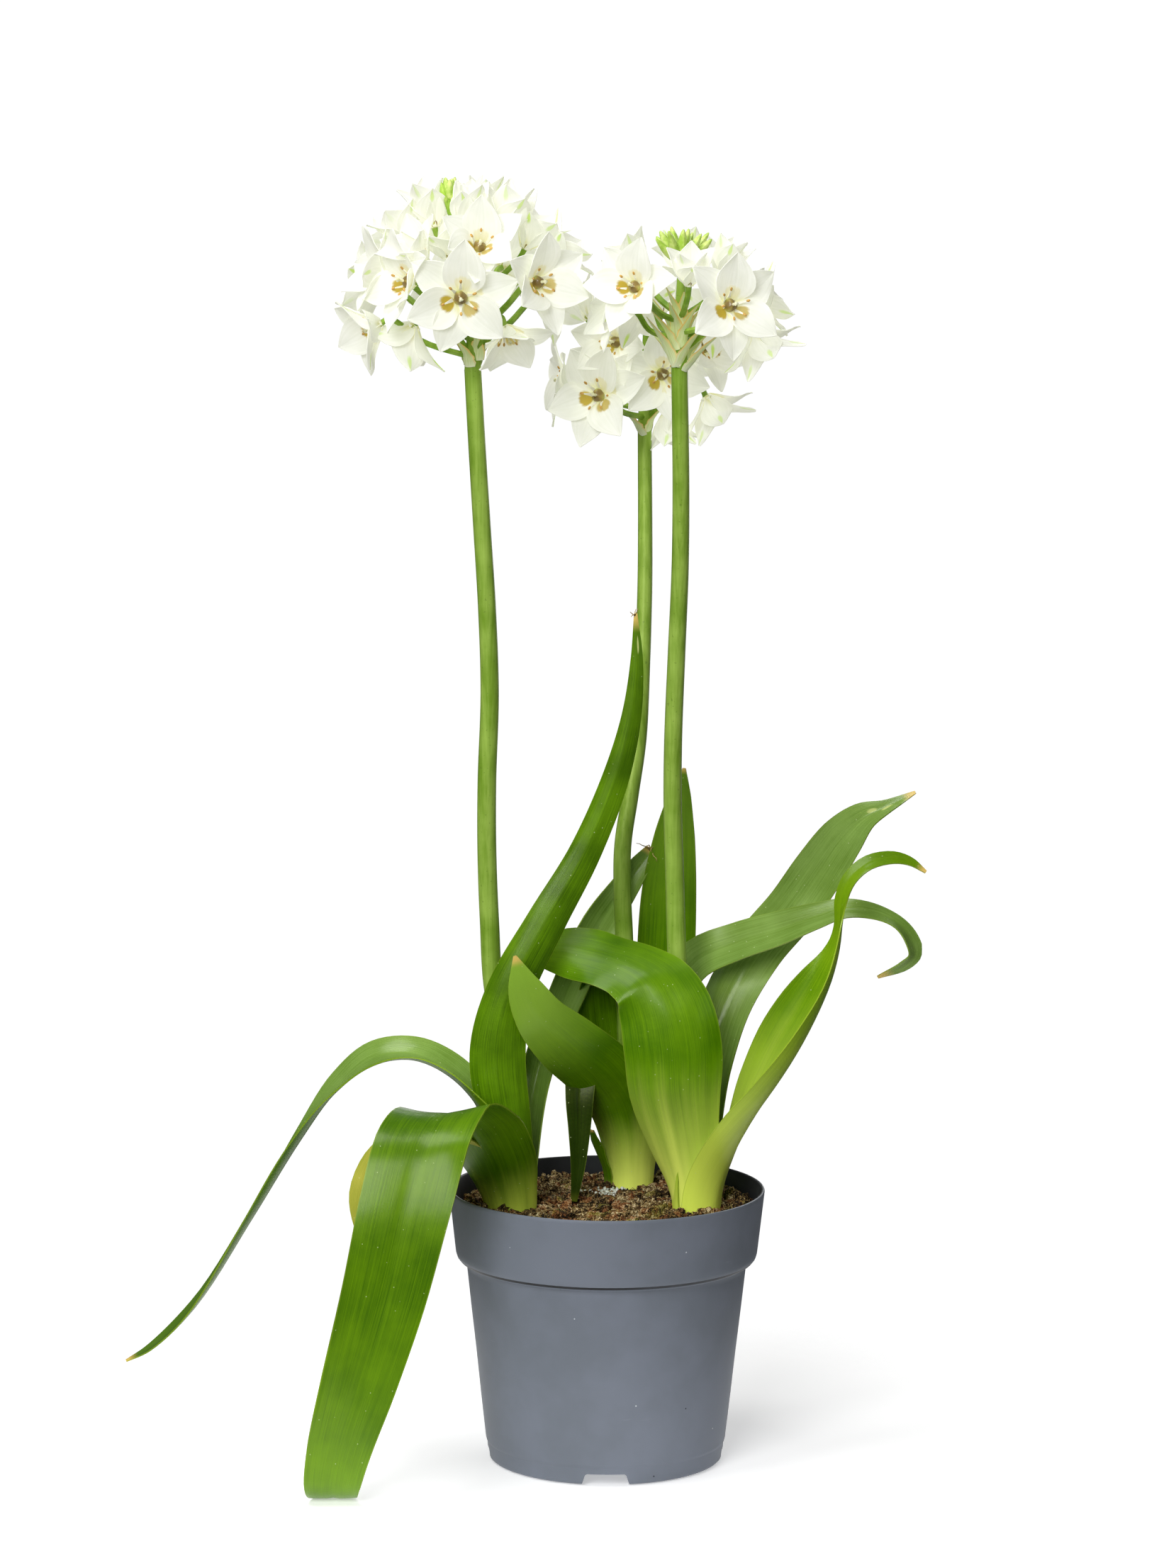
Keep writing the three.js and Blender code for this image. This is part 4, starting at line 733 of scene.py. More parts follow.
# %% Cut the notches and the drain holes
NOTCH_PLACE, NOTCH_DEPTH = 43, 9
NOTCH_BOTTOM, NOTCH_TOP = -2, 4.4
NOTCH_FOOT_HALF, NOTCH_TOP_HALF = 9.6, 7.6
DRAIN_SPOT = (0.030, 0, 0.005)


def notch_cutter():
    bpy.ops.mesh.primitive_cube_add(size=1)
    wedge = bpy.context.object
    for vertex in wedge.data.vertices:
        low = vertex.co.z < 0
        half = math.copysign(NOTCH_FOOT_HALF if low else NOTCH_TOP_HALF, vertex.co.y)
        out = vertex.co.x * NOTCH_DEPTH + NOTCH_PLACE
        vertex.co = metres(out, half, NOTCH_BOTTOM if low else NOTCH_TOP)
    modify(wedge, "BEVEL", width=0.0008, segments=3, limit_method="ANGLE")
    return wedge


def drain_cutter():
    bpy.ops.mesh.primitive_cylinder_add(vertices=24, radius=0.004, depth=0.006)
    return bpy.context.object


between_notches = Matrix.Rotation(math.pi / 4, 4, "Z") @ Matrix.Translation(DRAIN_SPOT)
cutters = []
for quarter in range(4):
    turn = Matrix.Translation(AXIS) @ Matrix.Rotation(math.pi / 2 * quarter, 4, "Z")
    for cutter, spot in ((notch_cutter(), turn), (drain_cutter(), turn @ between_notches)):
        cutter.data.transform(spot)
        cutters.append(cutter)
cutter = joined("pot_cutter", cutters)
modify(pot, "BOOLEAN", operation="DIFFERENCE", object=cutter, solver="EXACT")
bpy.data.objects.remove(cutter)
print("pot faces after cutting", len(pot.data.polygons))

# %% [markdown]
# The plastic is a satin blue-grey with a fine moulded grain. It is used, so it has pale specks
# and dark dots and a few scuffs. Its inside wall is painted dark: partly painted shade, partly a
# mottled stain from the wet peat. This painted shade and stain covers what is nearer to the axis
# than the inner wall, whose radius grows with the height, so the pattern is first centred on the
# pot. The heights and the radius below are in metres, and the lean is how far the wall goes out
# for each metre up.

# %% The pot's finish
WALL_LEVEL, WALL_RADIUS, WALL_LEAN = 0.078, 0.0567, 0.098
SHADE_AND_STAIN_FROM = 0.0775


def pot_finish():
    finish = Finish("pot_plastic", Specular_IOR_Level=0.16)
    body = finish.node("ShaderNodeVectorMath", [finish.body(), tuple(AXIS)], operation="SUBTRACT")
    x, y, up = finish.split(body)
    radius = (x * x + y * y) ** 0.5
    cloud = finish.noise(body, 22.0, 4.0, 0.6)
    grain = finish.noise(body, 1500.0, 2.0)
    skin = finish.mix(finish.fade(cloud, 0.35, 0.65), paint(106, 112, 121), paint(114, 120, 131))
    near, chance = finish.specks(body, 170.0)
    pale = (near < 0.05) * (chance > 0.82)
    dark = (near < 0.055) * (chance < 0.1)
    skin = finish.mix(pale * 0.8, skin, paint(206, 210, 214))
    skin = finish.mix(dark * 0.85, skin, paint(30, 32, 36))
    scuffs = finish.noise(finish.vector(x * 40, y * 40, up * 260), 1.0, 4.0, 0.7)
    scuff = finish.fade(scuffs, 0.66, 0.78) * 0.22
    skin = finish.mix(scuff, skin, paint(150, 154, 160))
    # Painted shade on the inside wall, with a mottled peat stain in it.
    inside = (radius < WALL_RADIUS + (up - WALL_LEVEL) * WALL_LEAN) * (up > SHADE_AND_STAIN_FROM)
    inner_shade_and_stain = inside * finish.fade(cloud, 0.2, 0.6) * 0.3 + inside * 0.6
    skin = finish.mix(inner_shade_and_stain, skin, paint(22, 18, 14))
    return finish.set(Base_Color=skin, Roughness=0.4 + cloud * 0.12 + scuff * 0.4,
                      Normal=finish.bump(grain + pale * 2, 0.25, 0.00012))


settle(dress(pot, pot_finish()), "pot", "pot", angle=32)

# %% [markdown]
# ## Peat
# The soil is brown, fibrous peat. The solid plug stays under it. On top comes a crust: a round
# face, inset ring by ring so that it has corners to lift, and set to a height that two slow waves
# and two quick ones give.

# %% The crust
SOIL_LEVEL, SOIL_REACH = 96.7, 56.6


def soil_height(x, y):
    lumps = math.sin(0.31 * x + 1.3) * math.cos(0.27 * y) + math.sin(0.53 * y - 0.41 * x)
    fine = math.sin(1.1 * x + 0.4) * math.sin(0.9 * y + 1.7) + 0.6 * math.sin(2.3 * x - 1.9 * y)
    return SOIL_LEVEL + 0.9 * lumps + 0.35 * fine


bpy.ops.mesh.primitive_circle_add(vertices=96, radius=SOIL_REACH, fill_type="NGON")
crust = bpy.context.object
crust.name = "peat_crust"
bpy.ops.object.mode_set(mode="EDIT")
bpy.ops.mesh.select_all(action="SELECT")
for ring in range(22):
    bpy.ops.mesh.inset(thickness=2.4)
bpy.ops.object.mode_set(mode="OBJECT")
for vertex in crust.data.vertices:
    x, y = vertex.co.x, vertex.co.y
    rough = random.Random(vertex.index).uniform(-0.35, 0.35)
    vertex.co = place(x, y, soil_height(x, y) + rough)
modify(crust, "SOLIDIFY", thickness=0.0016, offset=-1)
print("crust faces", len(crust.data.polygons))

# %% [markdown]
# On the crust lie thousands of crumbs, some larger lumps, a few hair roots, and white grains of
# perlite, most of them in front of the middle plant's foot. A few kinds of crumb are modelled, and
# each crumb is a turned copy of one kind. It has only a few faces, because there are so many.

# %% Scatter crumbs
def crumb_kinds(count, squash, level=1):
    kinds = []
    for kind in range(count):
        bpy.ops.mesh.primitive_ico_sphere_add(subdivisions=level, radius=1)
        crumb = bpy.context.object
        luck = random.Random(kind)
        corners = [vertex.co * luck.uniform(0.65, 1.25) for vertex in crumb.data.vertices]
        corners = [Vector((c.x * luck.uniform(0.8, 1.3), c.y, c.z * squash)) for c in corners]
        kinds.append((corners, [list(face.vertices) for face in crumb.data.polygons]))
        bpy.data.objects.remove(crumb)
    return kinds


def soil_spots(count, sizes, seed, centre=(0, 0), spread=None, sink=0.2):
    luck = random.Random(seed)
    spots = []
    while len(spots) < count:
        if spread:
            x, y = luck.gauss(centre[0], spread[0]), luck.gauss(centre[1], spread[1])
        else:
            x, y = luck.uniform(-SOIL_REACH, SOIL_REACH), luck.uniform(-SOIL_REACH, SOIL_REACH)
        size = sizes[0] + (sizes[1] - sizes[0]) * luck.random() ** 2.2
        if x * x + y * y < (SOIL_REACH - size - 0.6) ** 2:
            spots.append((x, y, soil_height(x, y) + size * sink + luck.uniform(-0.3, 0.5), size))
    return spots


def scattered(name, kinds, spots, seed):
    luck = random.Random(seed)
    corners, faces = [], []
    for x, y, z, size in spots:
        shape, sides = luck.choice(kinds)
        angle = luck.uniform(0, 6.28)
        pivot = Vector((luck.random(), luck.random(), luck.random() + 0.1))
        turn, start = Matrix.Rotation(angle, 3, pivot), len(corners)
        corners += [place(*(turn @ (corner * size) + Vector((x, y, z)))) for corner in shape]
        faces += [[start + index for index in side] for side in sides]
    mesh = bpy.data.meshes.new(name)
    mesh.from_pydata(corners, [], faces)
    piece = bpy.data.objects.new(name, mesh)
    bpy.context.scene.collection.objects.link(piece)
    print(name, "faces", len(faces))
    return piece


PERLITE_BEDS = [
    soil_spots(210, (0.3, 0.85), seed=5, centre=(1.5, 20), spread=(4.5, 3.5), sink=2.0),
    soil_spots(26, (0.2, 0.6), seed=6, centre=(48, 12), spread=(5, 8), sink=1.1),
    soil_spots(22, (0.2, 0.6), seed=10, centre=(-22, 14), spread=(6, 4), sink=1.1),
    soil_spots(40, (0.2, 0.55), seed=7, sink=1.1),
]
crumbs = scattered("peat_crumbs", crumb_kinds(9, squash=0.8),
                   soil_spots(6400, (0.3, 1.7), seed=3, sink=0.5), seed=4)
lumps = scattered("peat_lumps", crumb_kinds(9, squash=0.75, level=2),
                  soil_spots(620, (1.2, 3.3), seed=13, sink=0.25), seed=14)
perlite = scattered("perlite", crumb_kinds(5, squash=0.9), sum(PERLITE_BEDS, []), seed=8)

# %% Hair roots
ROOT_RADII = [0.13, 0.12, 0.1, 0.08, 0.05]
luck = random.Random(11)
roots = []
for x, y, z, size in soil_spots(520, (0.8, 4.2), seed=9):
    heading, stride, dots = luck.uniform(0, 6.28), size * 0.4, []
    for step in range(len(ROOT_RADII)):
        heading += luck.uniform(-0.7, 0.7)
        x, y = x + stride * math.cos(heading), y + stride * math.sin(heading)
        inside = min(1, (SOIL_REACH - 1) / math.hypot(x, y))
        x, y = x * inside, y * inside
        dots.append((x, y, soil_height(x, y) + 1.1 + 0.8 * stride * math.sin(step * 1.3)))
    roots.append((dots, ROOT_RADII))
fibres = rods("peat_fibres", roots, 0)
print("fibres", len(fibres.data.polygons))

# %% [markdown]
# Peat runs from near black in its gaps to straw on its fibres, so a ramp of five browns colours it,
# with a few reddish and mossy patches. A plainer finish of two tones serves the grains of perlite,
# the roots, the bulbs under the soil and, later on, the small parts of the flowers.

# %% Peat finishes
def peat_finish():
    finish = Finish("peat", Specular_IOR_Level=0.2)
    body = finish.body()
    patch = finish.noise(body, 75.0, 3.0, 0.6)
    crumb = finish.noise(body, 420.0, 3.0, 0.65)
    fibre = finish.noise(body, 1800.0, 2.0)
    tone = finish.fade(crumb * 0.7 + fibre * 0.6 + patch * 0.35, 0.55, 1.1)
    colour = finish.ramp(tone, [(0.0, paint(10, 8, 4)), (0.3, paint(46, 34, 18)), (0.5, paint(104, 80, 44)),
                                (0.7, paint(172, 146, 96)), (0.88, paint(232, 216, 172))])
    fibrous = finish.fade(tone, 0.1, 0.5)
    for scale, low, high, tint in ((160.0, 0.48, 0.62, paint(150, 84, 42)),
                                   (110.0, 0.55, 0.66, paint(126, 124, 34))):
        patches = finish.fade(finish.noise(body, scale, 3.0), low, high) * 0.5
        colour = finish.mix(patches * fibrous, colour, tint)
    return finish.set(Base_Color=colour, Roughness=0.92,
                      Normal=finish.bump(crumb + fibre * 0.8, 1.0, 0.0013))


# The last argument is a painted glow: an emission in the finish's own colour that lifts shade.
def plain_finish(name, light, dark, scale, roughness, depth, painted_glow=0.0):
    finish = Finish(name, Specular_IOR_Level=0.3, Emission_Strength=painted_glow)
    tone = finish.noise(finish.body(), scale, 3.0)
    colour = finish.mix(finish.fade(tone, 0.3, 0.7), paint(*dark), paint(*light))
    if painted_glow:
        finish.set(Emission_Color=colour)
    return finish.set(Base_Color=colour, Roughness=roughness, Normal=finish.bump(tone, 0.5, depth))


peat = peat_finish()
for piece in (crust, crumbs, lumps):
    settle(dress(piece, peat), "soil", angle=60)
grain_white = plain_finish("perlite_white", (236, 238, 226), (196, 202, 182), 900, 0.8, 0.0002)
settle(dress(perlite, grain_white), "soil", angle=20)
root_tan = plain_finish("root_tan", (206, 182, 118), (128, 98, 50), 260, 0.8, 0.0001)
settle(dress(fibres, root_tan), "soil")
dress(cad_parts["soil"], peat)
bulb_skin = plain_finish("bulb_skin", (218, 206, 172), (182, 160, 112), 160, 0.55, 0.0004)
for name in PLANTS:
    dress(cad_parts[f"{name}_bulb"], bulb_skin)

# %% [markdown]
# ## One tepal
# A flower is a star of six broad white tepals, three outer and three inner. A tepal is a
# pointed, cupped sheet: a grid again, with a width that follows the outline of a real tepal and
# a rise that flattens towards the tip. A flower that is nearly closed bends its tips inwards. Some
# of the six carry an ochre stain at the foot, kept in an attribute so that one finish can serve
# every tepal.

# %% The outline of a tepal
TEPAL_LENGTH = 20.5
TEPAL_OUTLINE = [(0, 1.9), (0.08, 3.3), (0.2, 5.6), (0.34, 7.1), (0.46, 7.5), (0.6, 6.8),
                 (0.74, 5.1), (0.86, 3.0), (0.94, 1.5), (1.0, 0.2)]
STAINS = [0.4, 0.1, 1.0, 0.4, 0.9, 0.45]
FOOT_RISE, TIP_FALL, CLOSING_RISE = 24, 15, 34


def outline(t):
    for (a, low), (b, high) in zip(TEPAL_OUTLINE, TEPAL_OUTLINE[1:]):
        if t <= b:
            return low + (high - low) * (t - a) / (b - a)
    return TEPAL_OUTLINE[-1][1]


def tepal_line(rise, length, steps):
    spots = [(1.0, 0.0, math.radians(rise + FOOT_RISE))]
    inward, stride = max(0.0, rise - CLOSING_RISE) * 0.8, length / steps
    for step in range(1, steps + 1):
        t = step / steps
        angle = math.radians(rise + FOOT_RISE * (1 - t) ** 1.4 - TIP_FALL * t + inward * t * t)
        r, z, unused = spots[-1]
        spots.append((r + math.cos(angle) * stride, z + math.sin(angle) * stride, angle))
    return spots


print("widest part of a tepal in millimetres", 2 * max(half for t, half in TEPAL_OUTLINE))

# %% One tepal
def tepal(index, rise, luck):
    steps, outer = 12, index % 2 == 1
    length = TEPAL_LENGTH * luck.uniform(0.95, 1.05)
    line = tepal_line(rise + luck.uniform(-5, 5) + (-3 if outer else 3), length, steps)
    spin = math.radians(90 + index * 60 + luck.uniform(-5, 5))
    sway, roll = luck.uniform(-2.2, 2.2), luck.uniform(-0.16, 0.16)
    phase, cup = luck.uniform(0, 6.28), luck.uniform(0.16, 0.3) + max(0, rise - 30) * 0.006
    bpy.ops.mesh.primitive_grid_add(x_subdivisions=8, y_subdivisions=steps, size=2)
    petal = bpy.context.object
    for word in ("stain", "green_tip"):
        petal.data.attributes.new(word, "FLOAT", "POINT")
    stain, green = petal.data.attributes["stain"], petal.data.attributes["green_tip"]
    tip_green = luck.uniform(0.6, 1.0) if outer else luck.uniform(0.0, 0.7)
    for vertex in petal.data.vertices:
        share, t = -vertex.co.x, (vertex.co.y + 1) / 2
        r, z, angle = line[round(t * steps)]
        wide = outline(t) * (0.94 if outer else 1.04)
        aside = share * wide + sway * t ** 2.5
        dish = cup * wide * share * share * (1 - 0.4 * t) + roll * share * wide
        dish += 0.5 * math.sin(9 * t + phase + share) * abs(share) ** 3
        dish -= 0.25 * math.exp(-(share / 0.16) ** 2)
        r, z = r - math.sin(angle) * dish, z + math.cos(angle) * dish + (0.0 if outer else 0.55)
        vertex.co = metres(r * math.cos(spin) - aside * math.sin(spin),
                           r * math.sin(spin) + aside * math.cos(spin), z)
        stain.data[vertex.index].value = STAINS[index]
        green.data[vertex.index].value = tip_green
    return petal


print("stained tepals", sum(stain > 0.5 for stain in STAINS), "of", len(STAINS))

# %% [markdown]
# ## The heart of a flower
# In the middle stands a dark olive ovary with a short pale style. Six flat white filaments lean
# out round it, each with a small ochre anther. In a flower that is nearly closed they stand
# steeper. The ovary and the stigma have three lobes, which a cosine of the turn gives.

# %% Ovary and style
OVARY_RADIUS, OVARY_HALF = 2.5, 2.7


def lobe(spot):
    return math.cos(3 * math.atan2(spot.y, spot.x))


def heart():
    bpy.ops.mesh.primitive_uv_sphere_add(segments=24, ring_count=12, radius=1)
    ovary = bpy.context.object
    brown = ovary.data.attributes.new("brown", "FLOAT", "POINT")
    for vertex in ovary.data.vertices:
        rib, (x, y, z) = lobe(vertex.co), vertex.co
        wide = OVARY_RADIUS * (1 + 0.09 * rib) * (1 - 0.22 * max(0, z) ** 2)
        brown.data[vertex.index].value = min(1, max(0, 0.45 + 0.55 * z - 0.35 * rib))
        vertex.co = metres(x * wide, y * wide, 2.5 + z * OVARY_HALF - 0.5 * max(0, z - 0.7))
    bpy.ops.mesh.primitive_cone_add(vertices=8, radius1=0.0006, radius2=0.0004, depth=0.0024,
                                    location=(0, 0, 0.006))
    style = bpy.context.object
    bpy.ops.object.transform_apply(location=True)
    bpy.ops.mesh.primitive_uv_sphere_add(segments=9, ring_count=5, radius=0.0008,
                                         location=(0, 0, 0.0072))
    stigma = bpy.context.object
    bpy.ops.object.transform_apply(location=True)
    for vertex in stigma.data.vertices:
        swollen = 1 + 0.3 * lobe(vertex.co)
        vertex.co.x, vertex.co.y = vertex.co.x * swollen, vertex.co.y * swollen
    return ovary, joined("style", [style, stigma])


print("ovary in millimetres", 2 * OVARY_RADIUS, "wide", 2 * OVARY_HALF, "high")

# %% Stamens
STAMEN_RING, STAMEN_START, STAMEN_REACH = 2.3, 0.6, 6.2


def stamen(index, rise, luck):
    turn = math.radians(60 * index + 30 + luck.uniform(-16, 16))
    lean = math.radians(max(12, 38 - rise * 0.5) + luck.uniform(-6, 6))
    reach = STAMEN_REACH + luck.uniform(-1.0, 0.8)
    out, up = reach * math.sin(lean), reach * math.cos(lean)
    bpy.ops.mesh.primitive_cube_add(size=1)
    filament = bpy.context.object
    modify(filament, "SUBSURF", levels=1, render_levels=1, subdivision_type="SIMPLE")
    for vertex in filament.data.vertices:
        t = vertex.co.z + 0.5
        wide = 1.7 * (1 - t) + 0.3 * t
        thick, bow = vertex.co.x * 0.35, 0.5 * math.sin(3.1 * t)
        vertex.co = metres(thick + STAMEN_RING + out * t - bow, vertex.co.y * wide, STAMEN_START + up * t)
    bpy.ops.mesh.primitive_uv_sphere_add(segments=8, ring_count=6, radius=1)
    anther = bpy.context.object
    tilt = Matrix.Rotation(luck.uniform(0.5, 1.5), 3, "Y")
    tip = Vector((STAMEN_RING + out, 0, STAMEN_START + up))
    for vertex in anther.data.vertices:
        shape = Vector((vertex.co.x * 0.4, vertex.co.y * 0.5, vertex.co.z * 0.85))
        vertex.co = metres(*(tilt @ shape + tip))
    for part in (filament, anther):
        part.data.transform(Matrix.Rotation(turn, 4, "Z"))
    return filament, anther


print("stamens in millimetres", STAMEN_REACH, "long")

# %% [markdown]
# ## Flower finishes
# The tepals are milk white with a warm tint, greener at the foot, where some carry an ochre
# stain with a ragged edge. Their backs have a green keel near the tip. Light passes through the
# thin sheet, so it has a subsurface share, and the tepals also carry a strong, faintly yellowish
# painted glow, an emission that lifts their shade. The ovary turns from olive to brown towards
# its top, and a bract from green to straw towards its margins.

# %% The tepal finish
def tepal_finish(name, back):
    # The emission is a painted glow that lifts the tepals' shade; its colour is tinted yellowish.
    finish = Finish(name, Specular_IOR_Level=0.3, Subsurface_Weight=0.25, Subsurface_Scale=0.003,
                    Subsurface_Radius=(1, 1, 0.8), Emission_Strength=0.52)
    across, along = finish.across_and_along()
    vein = finish.noise(finish.vector(across * 14, along * 1.4, 0.0), 1.0, 3.0)
    cloud = finish.noise(finish.body(), 120.0, 2.0)
    silk = finish.fade(vein * 0.6 + cloud * 0.5, 0.35, 0.8)
    white = finish.mix(silk, paint(197, 198, 192), paint(208, 208, 205))
    aside = abs(across - 0.5)
    if back:
        green = finish.attribute("green_tip")
        keel = finish.fade(((along - 0.84) / 0.2) ** 2.0 + (aside / 0.13) ** 2.0, 1.2, 0.2) * green
        colour = finish.mix(keel, white, paint(164, 194, 84))
        base = finish.fade(along + aside, 0.42, 0.05) * 0.8
        colour = finish.mix(base, colour, paint(164, 160, 92))
    else:
        stain = finish.attribute("stain")
        base = finish.fade(along + vein * 0.1, 0.3, 0.08) * 0.7
        colour = finish.mix(base, white, paint(192, 190, 118))
        ring = ((along - 0.22) / 0.15) ** 2.0 + (aside / 0.24) ** 2.0 + (vein - 0.5) * 1.2
        blot = finish.fade(ring, 1.3, 0.6) * stain
        ochre = finish.mix(stain, paint(200, 194, 110), paint(146, 118, 24))
        colour = finish.mix(blot, colour, ochre)
    painted_glow_colour = finish.mix(0.2, colour, paint(232, 236, 128))
    return finish.set(Base_Color=colour, Emission_Color=painted_glow_colour, Roughness=0.5 + cloud * 0.15,
                      Normal=finish.bump(vein, 0.35, 0.0003))


print("tepal finish ready")

# %% Ovary and bract finishes
def ovary_finish():
    finish = Finish("ovary_olive", Specular_IOR_Level=0.5, Coat_Weight=0.3, Coat_Roughness=0.2)
    cloud = finish.noise(finish.body(), 600.0, 3.0)
    tone = finish.fade(finish.attribute("brown") + (cloud - 0.5) * 0.5, 0.1, 0.9)
    olive = finish.ramp(tone, [(0.0, paint(190, 196, 110)), (0.45, paint(168, 150, 76)),
                               (1.0, paint(128, 106, 52))])
    return finish.set(Base_Color=olive, Roughness=0.3 + cloud * 0.15,
                      Normal=finish.bump(cloud, 0.4, 0.0002))


def bract_finish():
    # Its emission is a weak painted glow in its own colour, lifting its shade.
    finish = Finish("bract_pale", Specular_IOR_Level=0.35, Subsurface_Weight=0.1,
                    Subsurface_Scale=0.002, Emission_Strength=0.15)
    across, along = finish.across_and_along()
    vein = finish.noise(finish.vector(across * 22, along * 1.2, 0.0), 1.0, 3.0)
    colour = finish.mix(finish.fade(vein, 0.36, 0.7), paint(218, 226, 180), paint(192, 208, 130))
    colour = finish.mix(finish.fade(along, 0.35, 0.0) * 0.6, colour, paint(226, 232, 200))
    margin = abs(across - 0.5) + along * 0.22 + (vein - 0.5) * 0.2
    colour = finish.mix(finish.fade(margin, 0.42, 0.6) * 0.85, colour, paint(232, 196, 104))
    return finish.set(Base_Color=colour, Emission_Color=colour, Roughness=0.5 + vein * 0.1,
                      Normal=finish.bump(vein, 0.4, 0.0002))


FLOWER_FINISHES = {
    "tepal_face": tepal_finish("tepal_face", False),
    "tepal_back": tepal_finish("tepal_back", True),
    "ovary": ovary_finish(),
    # The last number of the style, filament, anther and bud finishes is their painted glow.
    "style": plain_finish("style_cream", (228, 226, 196), (206, 206, 160), 600, 0.5, 0.0001, 0.15),
    "filament": plain_finish("filament_white", (226, 225, 212), (210, 210, 186), 500, 0.5, 0.0001, 0.35),
    "anther": plain_finish("anther_ochre", (216, 176, 100), (190, 146, 74), 1200, 0.8, 0.0002, 0.1),
    "pedicel": plain_finish("pedicel_green", (162, 196, 80), (120, 160, 42), 220, 0.42, 0.0002),
    "bract": bract_finish(),
    "bud": plain_finish("bud_green", (212, 226, 138), (160, 194, 72), 330, 0.42, 0.0002, 0.08),
}
print("flower finishes", len(FLOWER_FINISHES))

# %% [markdown]
# ## Flower forms
# Nine flowers are modelled, from wide open to a cup. Each is a set of five meshes: the star of
# tepals, the ovary, the style, the filaments and the anthers. A head then uses copies of them,
# each turned and scaled to its own place, and each with its own mesh.

# %% Model the forms
HEART_KINDS = ("ovary", "style", "filament", "anther")
FORM_RISES = [12, 17, 22, 28, 34, 42, 50, 57, 63]


def flower_form(rise, seed):
    luck = random.Random(seed)
    petals = [tepal(index, rise, luck) for index in range(6)]
    for petal in petals:
        dress(petal, FLOWER_FINISHES["tepal_face"], FLOWER_FINISHES["tepal_back"])
    star = joined("star", petals)
    modify(star, "SOLIDIFY", thickness=0.00026, offset=0, material_offset=1, material_offset_rim=0)
    ovary, style = heart()
    filaments, anthers = zip(*(stamen(index, rise, luck) for index in range(6)))
    parts = {"star": star, "ovary": ovary, "style": style,
             "filament": joined("filaments", filaments), "anther": joined("anthers", anthers)}
    for kind in HEART_KINDS:
        dress(parts[kind], FLOWER_FINISHES[kind])
    meshes = {kind: part.data for kind, part in parts.items()}
    for part in parts.values():
        bpy.data.objects.remove(part)
    return meshes


FORMS = [flower_form(rise, 20 + index) for index, rise in enumerate(FORM_RISES)]
print("forms", len(FORMS), "faces each", sum(len(mesh.polygons) for mesh in FORMS[0].values()))

# %% [markdown]
# ## The heads
# Each row of flowers below holds one flower: its centre from the head's foot, the way it faces,
# the length of its tepals, how far it is closed, and its turn about its own axis. A bract's row is
# its foot, its tip and its width. The rachis carries the flowers on slim pedicels, pale pointed
# bracts stand round it near the head's foot, and green buds crowd the top.

